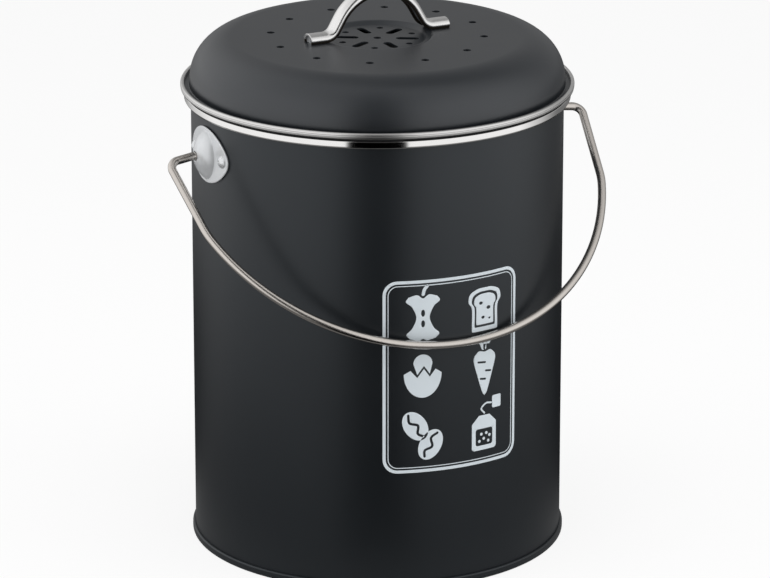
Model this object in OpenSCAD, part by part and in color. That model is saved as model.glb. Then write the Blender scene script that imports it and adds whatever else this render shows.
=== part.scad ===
// Compost caddy: a round steel bin with a bail, a lift-out liner and a
// lift-off vented lid that carries a charcoal filter.
// Millimetres. +Z is up, the origin is on the floor under the bin's centre,
// X runs through the two ears and -Y is the front, where the bail rests.

/* [Bin] */
// Outer radius of the bin's wall
bin_r = 90; // [75:1:110]
// Sheet thickness of the bin's wall
wall_t = 1; // [0.8:0.1:1.4]
// Height from the floor to the top of the rim band
rim_z = 224.4; // [170:0.2:280]
// Height of the polished rim band
rim_h = 3.8; // [3:0.1:5]
// How far the rim band stands out from the wall
rim_out = 3.3; // [2.8:0.1:4]
// Sheet thickness of the rim band
rim_t = 0.8; // [0.5:0.1:0.9]
// How far the band's inner leg reaches below its outer edge
rim_leg = 3; // [1:0.5:8]

/* [Base] */
// Sheet thickness of the base pan
pan_t = 0.8; // [0.6:0.1:1.2]
// Height of the seam that grips the foot of the wall
seam_h = 3.8; // [3:0.1:6]
// How far the seam stands out from the wall
seam_out = 1.4; // [1:0.1:2.5]
// Rounding of the seam's corners
seam_round = 0.6; // [0.3:0.1:0.9]
// Height of the pan's underside above the floor
pan_z = 5; // [4.6:0.2:8]
// Radius of the panel pressed up in the middle of the pan
panel_r = 62; // [30:1:68]
// Rise of that panel
panel_rise = 1.5; // [0.5:0.1:3]
// Width of the slope around that panel
panel_slope = 3; // [1:0.5:5]

/* [Ears] */
// Distance from the rim's top down to the middle of an ear
ear_drop = 21.8; // [19:0.2:40]
// Width of an ear's plate
ear_w = 40.6; // [39:0.2:44]
// Height of an ear's plate
ear_h = 27; // [26:0.2:30]
// Radius of the plate's two ends
ear_end_r = 6.8; // [6:0.1:9]
// Sheet thickness of an ear
ear_t = 1.1; // [0.8:0.1:1.4]
// Radius of the pod across the ear
pod_r = 10; // [9.5:0.1:11]
// Radius of the pod's arc from top to bottom
pod_arc_r = 15.5; // [14.5:0.1:17]
// How far the pod's middle line lies inside the wall's outer face
pod_inset = 3; // [2.6:0.1:3.2]
// Distance along the plate from its middle to a rivet
rivet_s = 15.5; // [15:0.1:16]
// Radius of a rivet's shank
rivet_r = 1.6; // [1.2:0.1:2]
// Radius of the rivet's domed head
rivet_head_r = 3.1; // [2.8:0.1:3.4]
// Height of the rivet's domed head
rivet_head_h = 1.6; // [1:0.1:2]
// Radius of the rivet's closed end inside the bin
rivet_tail_r = 2.8; // [2.3:0.1:3.4]
// Thickness of that closed end
rivet_tail_h = 1; // [0.6:0.1:1.2]

/* [Bail] */
// Diameter of the bail's wire
wire_d = 4; // [3:0.2:5]
// Radial clearance between the wire and its hole in the ear
wire_play = 0.05; // [0.02:0.01:0.09]
// How far the wire's centre stands out from the wall at its widest
bail_out = 20.4; // [18:0.2:26]
// Slope of the stub between the ear and the bend
stub_dip = 8.7; // [4:0.1:12]
// Radius of the bend beside the ear
ear_bend_r = 5; // [4:0.5:6]
// Length of the straight leg below that bend
leg_len = 34; // [20:0.5:60]
// Lean of the leg towards the bin
leg_lean = 7.4; // [4:0.1:12]
// Radius of the shoulder between the leg and the hoop
shoulder_bend_r = 35; // [20:1:60]
// Angle turned by that shoulder
shoulder_turn = 11.3; // [6:0.1:18]
// Radius of the upset head that keeps the wire in the ear
wire_head_r = 3.1; // [2.9:0.1:3.4]
// Thickness of that head
wire_head_t = 1.4; // [0.8:0.1:1.6]

/* [Liner] */
// Gap between the liner and the rim band's inner leg
liner_gap = 1.2; // [0.5:0.1:3]
// Wall thickness of the liner
liner_t = 1.6; // [1.2:0.1:2.5]
// Thickness of the lip that hangs on the rim band
lip_t = 1.5; // [1:0.1:3]
// How far the lip's edge stays inside the rim band's
lip_inset = 1.5; // [1:0.1:1.8]
// Depth of the liner's straight mouth, above its tapered part
mouth_h = 16; // [14:0.5:18]
// How much the liner narrows from its mouth to its floor
liner_taper = 7; // [2:0.5:12]
// Chamfer between the liner's wall and floor
liner_chamfer = 4; // [2:0.5:10]
// Gap between the liner's floor and the base pan
liner_lift = 1.2; // [0.5:0.1:10]
// Height of the two finger ledges below the rim's top
ledge_drop = 26; // [20:1:60]
// How far a finger ledge reaches inwards
ledge_in = 6; // [4:0.5:10]
// Thickness of a finger ledge
ledge_t = 3; // [2:0.5:5]
// Angle spanned by a finger ledge
ledge_span = 36; // [20:1:60]

/* [Lid] */
// Sheet thickness of the lid
lid_t = 1; // [0.8:0.1:1.4]
// Height of the lid's top above its flange's underside
lid_h = 25; // [23:0.2:40]
// How far the lid's side stands out from the bin's wall
dome_out = 0.5; // [0:0.1:1]
// Radius of the lid's round shoulder
shoulder_r = 20.7; // [12:0.1:21]
// Radius of the dished middle at its upper edge
dish_r = 26.5; // [25:0.1:27]
// Radius of the dished middle's floor
dish_floor_r = 23; // [22.5:0.1:24]
// Depth of the dished middle
dish_depth = 1.7; // [0.5:0.1:2.5]
// How far the flange reaches past the lid's side
flange_out = 3.5; // [3:0.1:5]
// Width of the chrome edge ring
ring_w = 2; // [1.6:0.1:2.4]
// Height of the chrome edge ring
ring_h = 2.8; // [2.4:0.1:3.2]
// How far the ring laps over the flange
ring_lap = 1; // [0.5:0.1:1.2]
// Gap between the lid's skirt and the liner
skirt_gap = 1.1; // [0.8:0.1:3]
// Depth of the lid's skirt
skirt_h = 12; // [8:0.5:18]
// Gap between the seal's beads and the liner
seal_gap = 0.3; // [0.1:0.05:0.5]
// Height of the seal
seal_h = 5; // [4:0.5:7]

/* [Vents] */
// Radius of the outer circle of round vents
vent_ring_r = 51.4; // [44:0.2:54]
// Number of vents in the outer circle
vent_count = 12; // [6:2:24]
// Diameter of an outer vent
vent_d = 3.8; // [2:0.1:5]
// Number of slots in the middle, with as many small vents between them
slot_count = 6; // [4:2:8]
// Distance from the middle to the inner end of a slot
slot_in = 9; // [7:0.5:11]
// Distance from the middle to the outer end of a slot
slot_out = 20.2; // [16:0.2:20.6]
// Width of a slot
slot_w = 4; // [3:0.1:4.4]
// Radius of the circle of small vents
small_ring_r = 18.5; // [16:0.1:20]
// Diameter of a small vent
small_d = 3.3; // [2:0.1:4]

/* [Lid handle] */
// Radius of the half-round strip
strip_r = 4.5; // [4.3:0.05:5.4]
// How far the strip's centre lies below its open side
strip_drop = 0; // [0:0.05:0.4]
// Sheet thickness of the strip
strip_t = 1.2; // [0.8:0.1:1.4]
// Height of the arch's underside above the lid
arch_h = 20; // [18:0.2:20.4]
// Radius of the arch's top
arch_r = 21.5; // [18:0.5:22]
// Slope of the arch's legs
arch_slope = 60; // [56:1:62]
// Radius of the bend between leg and foot
foot_bend_r = 8.6; // [7:0.1:8.9]
// Distance from the middle of the handle to the end of a foot
handle_reach = 36.9; // [36.6:0.1:40]
// Distance from the middle to a stud
stud_x = 32.7; // [32.7:0.1:33.2]
// Diameter of the studs
stud_d = 4; // [3:0.5:4]
// Length of a stud below the lid's top
stud_len = 7.8; // [7.4:0.1:8.4]
// Length of the plug that holds a stud inside the foot
plug_len = 6.5; // [5.5:0.5:6.5]
// Clearance of the studs in their holes
stud_play = 0.2; // [0.1:0.05:0.4]
// Radius of a washer
washer_r = 4.4; // [4:0.1:5]
// Thickness of a washer
washer_t = 0.8; // [0.5:0.1:1]
// Height of a nut
nut_h = 3; // [2.4:0.1:3.2]
// Width of a nut across its corners
nut_d = 8.1; // [7:0.1:9]

/* [Filter] */
// Outer radius of the collar under the lid
collar_r = 64; // [60:0.5:66]
// Wall thickness of the collar and the tray
collar_t = 2; // [1.5:0.1:2.5]
// Height of the collar
collar_h = 11; // [10:0.5:13]
// Width of the two lugs that the studs pass through
lug_w = 13; // [11:0.5:16]
// Thickness of the lugs
lug_t = 2.2; // [1.6:0.1:2.4]
// Diameter of the hole that keeps a vent open through a lug
lug_vent_d = 7; // [6:0.5:8]
// Radial clearance between the tray and the collar
tray_play = 0.3; // [0.2:0.05:0.6]
// How far the tray's wall reaches up inside the collar
tray_in = 7; // [4:0.5:8]
// Thickness of the tray's floor and of its stop flange
tray_t = 1.6; // [1.2:0.1:2]
// Depth of the tray below the collar
tray_drop = 5; // [4:0.5:8]
// Distance between the rings of holes in the tray
grille_pitch = 13; // [12:0.5:13]
// Number of rings of holes in the tray
grille_rings = 4; // [2:1:4]
// Diameter of a hole in the tray
grille_d = 7; // [4:0.5:7]
// Thickness of the charcoal pad
pad_t = 6; // [4:0.5:7]

/* [Hidden] */
$fn = 96;
cut = 1;                                        // overrun of a cutting shape
weld = 0.02;                                    // how proud a joint is that makes two runs one
weld_len = 0.1;                                 // length of such a joint

wall_in = bin_r - wall_t;                       // inner face of the wall
rim_r = bin_r + rim_out;
leg_r = wall_in - rim_t;                        // inner face of the rim band
pan_leg_r = wall_in - pan_t;
panel_z = pan_z + panel_rise;

ear_z = rim_z - ear_drop;
ear_face = bin_r + ear_t;                       // outer face of an ear's plate
pod_x = bin_r - pod_inset;                      // the pod's own vertical axis
pod_tip = pod_x + pod_r;
rivet_turn = rivet_s / ear_face * 180 / PI;
rivet_ball_r = (pow(rivet_head_r, 2) + pow(rivet_head_h, 2)) / (2 * rivet_head_h);

wire_r = wire_d / 2;
tip_bend_r = 6;                                 // where the pin meets the stub
pin_end = pod_tip + 0.6;                        // the pin is straight up to here
head_room = 0.3;                                // between wire head and pod
head_x = pod_x + sqrt(pow(pod_r - ear_t, 2) - pow(wire_head_r, 2)) - head_room;
leg_dir = 90 + leg_lean;                        // directions, from X towards the hoop
hoop_dir = leg_dir + shoulder_turn;
widest = bin_r + bail_out;
stub_len = (widest - pin_end - tip_bend_r * sin(stub_dip)
            - ear_bend_r * (1 - sin(stub_dip))) / cos(stub_dip);
leg_top_u = widest - ear_bend_r * (1 - sin(leg_dir));
leg_top_w = tip_bend_r * (1 - cos(stub_dip)) + stub_len * sin(stub_dip)
            + ear_bend_r * (cos(stub_dip) - cos(leg_dir));
hoop_u = leg_top_u + leg_len * cos(leg_dir)
         + shoulder_bend_r * (sin(hoop_dir) - sin(leg_dir));
hoop_r = hoop_u / sin(hoop_dir);
hoop_depth = leg_top_w + leg_len * sin(leg_dir)
             + shoulder_bend_r * (cos(leg_dir) - cos(hoop_dir))
             + hoop_r * (1 + cos(hoop_dir));
rest_gap = 0.3;                                 // between resting bail and wall
bail_tilt = asin((bin_r + wire_r + rest_gap) / hoop_depth);

liner_r = leg_r - liner_gap;
liner_in = liner_r - liner_t;                   // inside radius at the mouth
liner_base_r = liner_r - liner_taper;
liner_z = panel_z + pan_t + liner_lift;
lip_r = rim_r - lip_inset;

lid_z = rim_z + lip_t;                          // underside of the lid's flange
top_z = lid_z + lid_h;
dome_r = bin_r + dome_out;
flange_r = dome_r + flange_out;
ring_r = flange_r + ring_w - ring_lap;
skirt_r = liner_in - skirt_gap;
seal_base = 0.3;                                // web of the seal between its beads
seal_bead = skirt_gap - seal_gap - seal_base;

arch_z = top_z + arch_h - arch_r;               // centre of the arch's top
leg_x = arch_r * sin(arch_slope);
leg_z = arch_z + arch_r * cos(arch_slope);
arch_leg = (leg_z - top_z - foot_bend_r * (1 - cos(arch_slope))) / sin(arch_slope);
foot_x = leg_x + arch_leg * cos(arch_slope) + foot_bend_r * sin(arch_slope);
lug_z = top_z - lid_t - lug_t;                  // underside of the lugs

collar_z = top_z - lid_t - collar_h;            // underside of the collar
tray_r = collar_r - collar_t - tray_play;
tray_z = collar_z - tray_drop;
pad_r = tray_r - collar_t - tray_play;
lug_in = dish_r + 1.2;                          // lugs stay clear of the dish

// ---- outlines ----

// Rectangle with round corners, from its lower left corner
module soft_square(w, h, r) {
    translate([r, 0]) square([w - 2 * r, h]);
    translate([0, r]) square([w, h - 2 * r]);
    for (x = [r, w - r], y = [r, h - r]) translate([x, y]) circle(r);
}

// Oval of four arcs: half width a, half height b, ends of radius r
module oval(a, b, r) {
    flat_r = (pow(a - r, 2) + b * b - r * r) / (2 * (b - r));
    join_x = (a - r) * flat_r / (flat_r - r);
    intersection() {
        translate([0, b - flat_r]) circle(flat_r);
        translate([0, flat_r - b]) circle(flat_r);
        translate([-join_x, -b - cut]) square([2 * join_x, 2 * (b + cut)]);
    }
    for (s = [-1, 1]) translate([s * (a - r), 0]) circle(r);
}

// Half section of the lid's dome with its dished middle, inset by t from its outer face
module dome_half(t) {
    difference() {
        union() {
            square([dome_r - shoulder_r, lid_h - t]);
            square([dome_r - t, lid_h - shoulder_r]);
            translate([dome_r - shoulder_r, lid_h - shoulder_r]) intersection() {
                circle(shoulder_r - t);
                square(shoulder_r);
            }
        }
        polygon([[0, lid_h - dish_depth - t], [dish_floor_r + t / 2, lid_h - dish_depth - t],
                 [dish_r + t / 2, lid_h - t], [dish_r, lid_h + cut], [0, lid_h + cut]]);
    }
}

// Section of the handle's strip without its hollow: x across, y up from the open side
module strip_solid(r, extra = 0) {
    intersection() {
        translate([0, -strip_drop]) circle(r + extra);
        translate([-strip_r - cut, -extra]) square([2 * (strip_r + cut), strip_r + cut]);
    }
}

module strip_section(extra = 0) {
    difference() {
        strip_solid(strip_r, extra);
        translate([0, -strip_drop]) circle(strip_r - strip_t - extra);
    }
}

// A straight run of a section along +X, its y axis turned up to +Z
module run_x(length) {
    rotate([90, 0, 90]) linear_extrude(length) children();
}

// ---- bin ----

module bin_wall() {
    color("#2b2c2f") difference() {
        translate([0, 0, pan_t]) cylinder(r = bin_r, h = rim_z - rim_t - pan_t);
        cylinder(r = wall_in, h = rim_z);
        for (side = [0, 180], turn = [-1, 1])
            rotate([0, 0, side + turn * rivet_turn]) translate([0, 0, ear_z])
                rotate([0, 90, 0]) cylinder(r = rivet_r, h = bin_r + cut);
    }
}

module base_pan() {
    color("#242528") rotate_extrude() {
        difference() {
            translate([pan_leg_r, 0])
                soft_square(bin_r + seam_out - pan_leg_r, seam_h, seam_round);
            translate([wall_in, pan_t]) square([wall_t, seam_h]);
        }
        translate([pan_leg_r, seam_round]) square([pan_t, pan_z + pan_t - seam_round]);
        translate([panel_r + panel_slope, pan_z])
            square([pan_leg_r - panel_r - panel_slope + pan_t / 2, pan_t]);
        polygon([[panel_r + panel_slope, pan_z], [panel_r + panel_slope, pan_z + pan_t],
                 [panel_r, panel_z + pan_t], [0, panel_z + pan_t],
                 [0, panel_z], [panel_r, panel_z]]);
    }
}

module rim_band() {
    bulge_r = rim_h / 2;
    color("#d9d9d5") rotate_extrude() translate([0, rim_z - rim_h]) difference() {
        union() {
            translate([leg_r, -rim_leg]) square([rim_t, rim_leg + rim_h]);
            translate([leg_r, 0]) square([rim_r - bulge_r - leg_r, rim_h]);
            translate([rim_r - bulge_r, bulge_r]) circle(bulge_r);
        }
        translate([wall_in, rim_t])
            square([rim_r - bulge_r - wall_in, rim_h - 2 * rim_t]);
        translate([rim_r - bulge_r, bulge_r]) circle(bulge_r - rim_t);
        translate([wall_in, -cut]) square([wall_t, rim_t + 2 * cut]);
    }
}

// ---- ears ----

// Pod: an arc turned about the pod's own vertical axis
module pod(r, arc_r) {
    rotate_extrude() intersection() {
        translate([r - arc_r, 0]) circle(arc_r);
        translate([0, -arc_r]) square([r, 2 * arc_r]);
    }
}

module ear() {
    color("#cfd2d6") difference() {
        union() {
            intersection() {
                cylinder(r = ear_face, h = rim_z);
                translate([0, 0, ear_z]) run_x(bin_r + ear_w)
                    oval(ear_face * sin(ear_w / 2 / ear_face * 180 / PI),
                         ear_h / 2, ear_end_r);
            }
            translate([pod_x, 0, ear_z]) pod(pod_r, pod_arc_r);
        }
        translate([pod_x, 0, ear_z]) pod(pod_r - ear_t, pod_arc_r - ear_t);
        cylinder(r = bin_r, h = rim_z);
        translate([0, 0, ear_z]) rotate([0, 90, 0])
            cylinder(r = wire_r + wire_play, h = pod_tip + cut);
        for (turn = [-1, 1])
            rotate([0, 0, turn * rivet_turn]) translate([0, 0, ear_z])
                rotate([0, 90, 0]) cylinder(r = rivet_r, h = ear_face + cut);
    }
}

// One rivet on the +X side: domed head, shank and closed end
module rivet() {
    difference() {
        translate([ear_face + rivet_head_h - rivet_ball_r, 0, 0]) sphere(rivet_ball_r);
        translate([0, 0, -ear_h / 2]) cylinder(r = ear_face, h = ear_h);
    }
    translate([wall_in - rivet_tail_h / 2, 0, 0]) rotate([0, 90, 0])
        cylinder(r = rivet_r, h = wall_t + ear_t + (rivet_tail_h + rivet_head_h) / 2);
    intersection() {
        translate([wall_in - rivet_tail_h, 0, 0]) rotate([0, 90, 0])
            cylinder(r = rivet_tail_r, h = 2 * rivet_tail_h);
        translate([0, 0, -ear_h / 2]) cylinder(r = wall_in, h = ear_h);
    }
}

module ear_rivets() {
    color("#b9bdc2") for (turn = [-1, 1])
        rotate([0, 0, turn * rivet_turn]) translate([0, 0, ear_z]) rivet();
}

module right_ear() { ear(); }
module left_ear() { rotate([0, 0, 180]) ear(); }
module right_ear_rivets() { ear_rivets(); }
module left_ear_rivets() { rotate([0, 0, 180]) ear_rivets(); }

// ---- bail ----

// Thin band of wire that makes the runs on its two sides one
module wire_joint() {
    rotate([0, 90, 0]) cylinder(r = wire_r + weld, h = weld_len, center = true);
}

// Wire along +X for a length, then on to what follows it
module wire_run(length) {
    rotate([0, 90, 0]) cylinder(r = wire_r, h = length);
    translate([length, 0, 0]) {
        wire_joint();
        children();
    }
}

// Wire that turns from +X towards +Y, then on to what follows it
module wire_bend(r, turn) {
    translate([0, r, 0]) rotate([0, 0, -90])
        rotate_extrude(angle = turn) translate([r, 0]) circle(wire_r);
    translate([r * sin(turn), r * (1 - cos(turn)), 0]) rotate([0, 0, turn]) {
        wire_joint();
        children();
    }
}

// One end of the bail in its own plane, from the head in the ear to the hoop:
// X along the pins, Y towards the hoop
module bail_end() {
    translate([head_x - wire_head_t, 0, 0]) {
        rotate([0, 90, 0]) cylinder(r = wire_head_r, h = wire_head_t);
        wire_run(pin_end - head_x + wire_head_t) wire_bend(tip_bend_r, stub_dip)
            wire_run(stub_len) wire_bend(ear_bend_r, leg_dir - stub_dip)
            wire_run(leg_len) wire_bend(shoulder_bend_r, shoulder_turn);
    }
}

module bail() {
    color("#a89f90") translate([0, 0, ear_z]) rotate([270 - bail_tilt, 0, 0]) {
        translate([0, hoop_depth - hoop_r, 0]) rotate([0, 0, hoop_dir - 90])
            rotate_extrude(angle = 360 - 2 * hoop_dir) translate([hoop_r, 0]) circle(wire_r);
        bail_end();
        mirror([1, 0, 0]) bail_end();
    }
}

// ---- liner ----

module liner_bucket() {
    mouth_z = rim_z - mouth_h;
    slope = liner_taper / (mouth_z - liner_z - liner_chamfer);
    ledge_z = rim_z - ledge_drop;
    ledge_r = liner_r - slope * (ledge_drop - mouth_h);  // outer face at a ledge
    color("#3a3d40") {
        rotate_extrude() polygon([
            [0, liner_z], [liner_base_r - liner_chamfer, liner_z],
            [liner_base_r, liner_z + liner_chamfer], [liner_r, mouth_z], [liner_r, rim_z],
            [lip_r, rim_z], [lip_r, lid_z], [liner_in, lid_z],
            [liner_in, mouth_z], [liner_base_r - liner_t, liner_z + liner_chamfer],
            [liner_base_r - liner_chamfer - liner_t / 2, liner_z + liner_t],
            [0, liner_z + liner_t]]);
        for (side = [-90, 90]) rotate([0, 0, side - ledge_span / 2])
            rotate_extrude(angle = ledge_span)
                translate([ledge_r - liner_t - ledge_in, ledge_z])
                square([ledge_in + liner_t / 2, ledge_t]);
    }
}

// ---- lid ----

// Round and slotted vents, as one cutting shape through the lid's top
module vent_cuts() {
    linear_extrude(lid_h + 2 * cut) {
        circle(d = vent_d);
        for (k = [0 : vent_count - 1]) rotate(k * 360 / vent_count)
            translate([vent_ring_r, 0]) circle(d = vent_d);
        for (k = [0 : slot_count - 1]) rotate(k * 360 / slot_count) {
            translate([small_ring_r, 0]) circle(d = small_d);
            rotate(180 / slot_count) {
                for (x = [slot_in + slot_w / 2, slot_out - slot_w / 2])
                    translate([x, 0]) circle(d = slot_w);
                translate([slot_in + slot_w / 2, -slot_w / 2])
                    square([slot_out - slot_in - slot_w, slot_w]);
            }
        }
    }
}

// Both positions of a stud, washer, nut or hole, at the handle's feet
module at_studs() {
    for (s = [-1, 1]) translate([s * stud_x, 0, 0]) children();
}

module lid_shell() {
    color("#303134") translate([0, 0, lid_z]) difference() {
        rotate_extrude() {
            difference() {
                dome_half(0);
                dome_half(lid_t);
            }
            translate([dome_r - lid_t, 0]) square([flange_out + lid_t, lid_t]);
        }
        vent_cuts();
        at_studs() cylinder(d = stud_d + 2 * stud_play, h = lid_h + cut);
    }
}

module lid_edge_ring() {
    bead_r = ring_h / 2;
    color("#dededb") translate([0, 0, lid_z]) rotate_extrude() difference() {
        intersection() {
            translate([ring_r - ring_w, 0]) square([ring_w, ring_h]);
            union() {
                translate([ring_r - bead_r, bead_r]) circle(bead_r);
                translate([ring_r - ring_w, 0]) square([ring_w - bead_r, ring_h]);
            }
        }
        translate([ring_r - ring_w - cut, -cut]) square([ring_lap + cut, lid_t + cut]);
    }
}

// Flat ring inside the dome's foot, which carries the skirt and sits on the liner's lip
module lid_inner_ring() {
    color("#303134") translate([0, 0, lid_z]) rotate_extrude()
        translate([skirt_r - lid_t, 0]) square([dome_r - skirt_r, lid_t]);
}

module lid_skirt() {
    color("#303134") translate([0, 0, lid_z - skirt_h]) rotate_extrude()
        translate([skirt_r - lid_t, 0]) square([lid_t, skirt_h]);
}

module lid_seal() {
    bead_z = [seal_bead, seal_h - seal_bead];   // a bead near each edge of the seal
    color("#4c4f52") translate([0, 0, lid_z - lip_t - seal_h]) rotate_extrude()
        translate([skirt_r, 0]) {
            square([seal_base, seal_h]);
            for (z = bead_z) translate([seal_base, z]) intersection() {
                circle(seal_bead);
                translate([-seal_base / 2, -seal_bead]) square([seal_h, 2 * seal_bead]);
            }
        }
}

// ---- lid handle ----

// Thin band of strip that makes the runs on its two sides one
module strip_joint() {
    translate([-weld_len / 2, 0, 0]) run_x(weld_len) strip_section(weld);
}

// Right side of the arch: a leg, a bend and a foot
module handle_side() {
    translate([leg_x, 0, leg_z]) rotate([0, arch_slope, 0]) {
        strip_joint();
        run_x(arch_leg) strip_section();
        translate([arch_leg, 0, 0]) strip_joint();
    }
    translate([foot_x, 0, top_z + foot_bend_r]) rotate([90, 0, 0])
        rotate([0, 0, -90 - arch_slope]) rotate_extrude(angle = arch_slope)
        translate([foot_bend_r, 0]) rotate(90) strip_section();
    translate([foot_x, 0, top_z]) {
        strip_joint();
        run_x(handle_reach - foot_x) strip_section();
    }
}

module lid_handle() {
    color("#c9c7c2") {
        translate([0, 0, arch_z]) rotate([90, 0, 0]) rotate([0, 0, 90 - arch_slope])
            rotate_extrude(angle = 2 * arch_slope)
            translate([arch_r, 0]) rotate(-90) strip_section();
        handle_side();
        mirror([1, 0, 0]) handle_side();
    }
}

// Studs on plugs that fill the strip's hollow inside each foot
module lid_handle_studs() {
    color("#b4b4b0") at_studs() {
        translate([-plug_len / 2, 0, top_z]) run_x(plug_len) strip_solid(strip_r - strip_t);
        translate([0, 0, top_z - stud_len]) cylinder(d = stud_d, h = stud_len + strip_t);
    }
}

module lid_handle_washers() {
    color("#c3c3bf") at_studs() translate([0, 0, lug_z - washer_t]) difference() {
        cylinder(r = washer_r, h = washer_t);
        translate([0, 0, -cut])
            cylinder(d = stud_d + 2 * stud_play, h = washer_t + 2 * cut);
    }
}

module lid_handle_nuts() {
    color("#bdbdb8") at_studs() translate([0, 0, lug_z - washer_t - nut_h]) difference() {
        cylinder(d = nut_d, h = nut_h, $fn = 6);
        translate([0, 0, -cut]) cylinder(d = stud_d, h = nut_h + 2 * cut);
    }
}

// ---- filter ----

module filter_collar() {
    color("#45484b") difference() {
        union() {
            translate([0, 0, collar_z]) difference() {
                cylinder(r = collar_r, h = collar_h);
                translate([0, 0, -cut])
                    cylinder(r = collar_r - collar_t, h = collar_h + 2 * cut);
            }
            translate([0, 0, lug_z]) intersection() {
                cylinder(r = collar_r - collar_t / 2, h = lug_t);
                for (s = [0, 180]) rotate([0, 0, s])
                    translate([lug_in, -lug_w / 2, 0]) cube([collar_r, lug_w, lug_t]);
            }
        }
        at_studs() translate([0, 0, lug_z - cut])
            cylinder(d = stud_d + 2 * stud_play, h = lug_t + 2 * cut);
        for (s = [-1, 1]) translate([s * vent_ring_r, 0, lug_z - cut])
            cylinder(d = lug_vent_d, h = lug_t + 2 * cut);
    }
}

module filter_tray() {
    color("#45484b") difference() {
        union() {
            translate([0, 0, tray_z])
                cylinder(r = tray_r, h = tray_drop + tray_in);
            translate([0, 0, collar_z - tray_t]) cylinder(r = collar_r, h = tray_t);
        }
        translate([0, 0, tray_z + tray_t])
            cylinder(r = tray_r - collar_t, h = tray_drop + tray_in);
        translate([0, 0, tray_z - cut]) linear_extrude(tray_t + 2 * cut) {
            circle(d = grille_d);
            for (ring = [1 : grille_rings], k = [0 : 6 * ring - 1])
                rotate(k * 60 / ring) translate([ring * grille_pitch, 0]) circle(d = grille_d);
        }
    }
}

module charcoal_filter() {
    color("#1c1d1e") translate([0, 0, tray_z + tray_t]) cylinder(r = pad_r, h = pad_t);
}

bin_wall();
base_pan();
rim_band();
left_ear();
right_ear();
left_ear_rivets();
right_ear_rivets();
bail();
liner_bucket();
lid_shell();
lid_edge_ring();
lid_inner_ring();
lid_skirt();
lid_seal();
lid_handle();
lid_handle_studs();
lid_handle_washers();
lid_handle_nuts();
filter_collar();
filter_tray();
charcoal_filter();
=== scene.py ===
# %% [markdown]
# # A compost caddy
# The real caddy is a bin rolled from thin steel sheet and powder coated black. A plastic liner
# hangs inside it, a vented lid with a charcoal filter sits on top, and a wire bail swings in two
# zinc ears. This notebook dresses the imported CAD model: every visible sheet, wire and rim is
# made again with soft edges and its own finish, in the frame's own metres.

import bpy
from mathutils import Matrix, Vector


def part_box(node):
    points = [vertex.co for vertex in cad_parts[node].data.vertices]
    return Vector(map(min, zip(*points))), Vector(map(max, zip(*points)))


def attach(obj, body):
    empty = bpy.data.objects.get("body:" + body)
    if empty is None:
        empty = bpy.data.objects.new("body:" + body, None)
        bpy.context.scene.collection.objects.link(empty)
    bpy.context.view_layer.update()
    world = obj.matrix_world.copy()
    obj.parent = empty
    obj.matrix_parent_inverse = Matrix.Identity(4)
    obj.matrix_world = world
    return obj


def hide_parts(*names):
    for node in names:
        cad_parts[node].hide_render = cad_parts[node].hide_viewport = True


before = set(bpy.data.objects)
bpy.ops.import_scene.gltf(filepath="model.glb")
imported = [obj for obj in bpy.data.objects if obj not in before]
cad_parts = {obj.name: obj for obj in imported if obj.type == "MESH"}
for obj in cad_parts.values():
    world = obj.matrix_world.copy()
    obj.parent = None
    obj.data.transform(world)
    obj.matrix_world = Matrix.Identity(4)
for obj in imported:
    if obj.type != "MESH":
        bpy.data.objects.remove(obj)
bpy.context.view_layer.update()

# %% The tools that the cells below use
import math

import bmesh
import bpy
from mathutils import Matrix, Vector, noise

MM = 0.001
FLAT = Vector((1, 1, 0))
scene = bpy.context.scene

# %% [markdown]
# ## Sizes
# A dressed piece has to sit exactly where its CAD node is, so the main sizes are read from the
# frame's boxes instead of being typed again. Only what a box can't tell, such as a sheet's
# thickness or the radius of a bend, is written as a value in millimetres.

# %% Read the main sizes from the frame
bin_low, bin_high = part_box("bin_wall")
rim_low, rim_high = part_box("rim_band")
foot_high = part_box("base_pan")[1]
liner_low, liner_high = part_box("liner_bucket")
shell_low, shell_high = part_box("lid_shell")
edge_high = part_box("lid_edge_ring")[1]
inner_low, inner_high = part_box("lid_inner_ring")
skirt_low, skirt_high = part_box("lid_skirt")
seal_low, seal_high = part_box("lid_seal")
ear_low, ear_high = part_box("right_ear")
bail_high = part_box("bail")[1]
handle_low, handle_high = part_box("lid_handle")
pad_low, pad_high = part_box("charcoal_filter")

bin_r = bin_high.x
rim_r = rim_high.x
rim_z = rim_high.z
lid_z = shell_low.z
top_z = shell_high.z
ear_z = (ear_low.z + ear_high.z) / 2
sheet = 1.0 * MM
thin_sheet = 0.8 * MM
print(f"bin radius {bin_r:.4f}, rim at {rim_z:.4f}, lid from {lid_z:.4f} to {top_z:.4f}")

# %% [markdown]
# ## Writing finishes as sums
# A finish is a small network of nodes. Wiring it by hand takes many lines, so two helpers do it:
# `Wire` is a socket that can be added, multiplied and subtracted like a number, and `Nodes`
# adds any other node from its type, its settings and the values of its sockets.

# %% Sockets that behave like numbers
class Wire:
    """An output socket that adds a Math node when it is used in a sum."""

    def __init__(self, nodes, socket):
        self.nodes = nodes
        self.socket = socket

    def math(self, operation, first, second):
        return self.nodes.add("Math", {"operation": operation}, {0: first, 1: second})

    def __add__(self, other):
        return self.math("ADD", self, other)

    def __radd__(self, other):
        return self.math("ADD", other, self)

    def __sub__(self, other):
        return self.math("SUBTRACT", self, other)

    def __rsub__(self, other):
        return self.math("SUBTRACT", other, self)

    def __mul__(self, other):
        return self.math("MULTIPLY", self, other)

    def __rmul__(self, other):
        return self.math("MULTIPLY", other, self)


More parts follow.
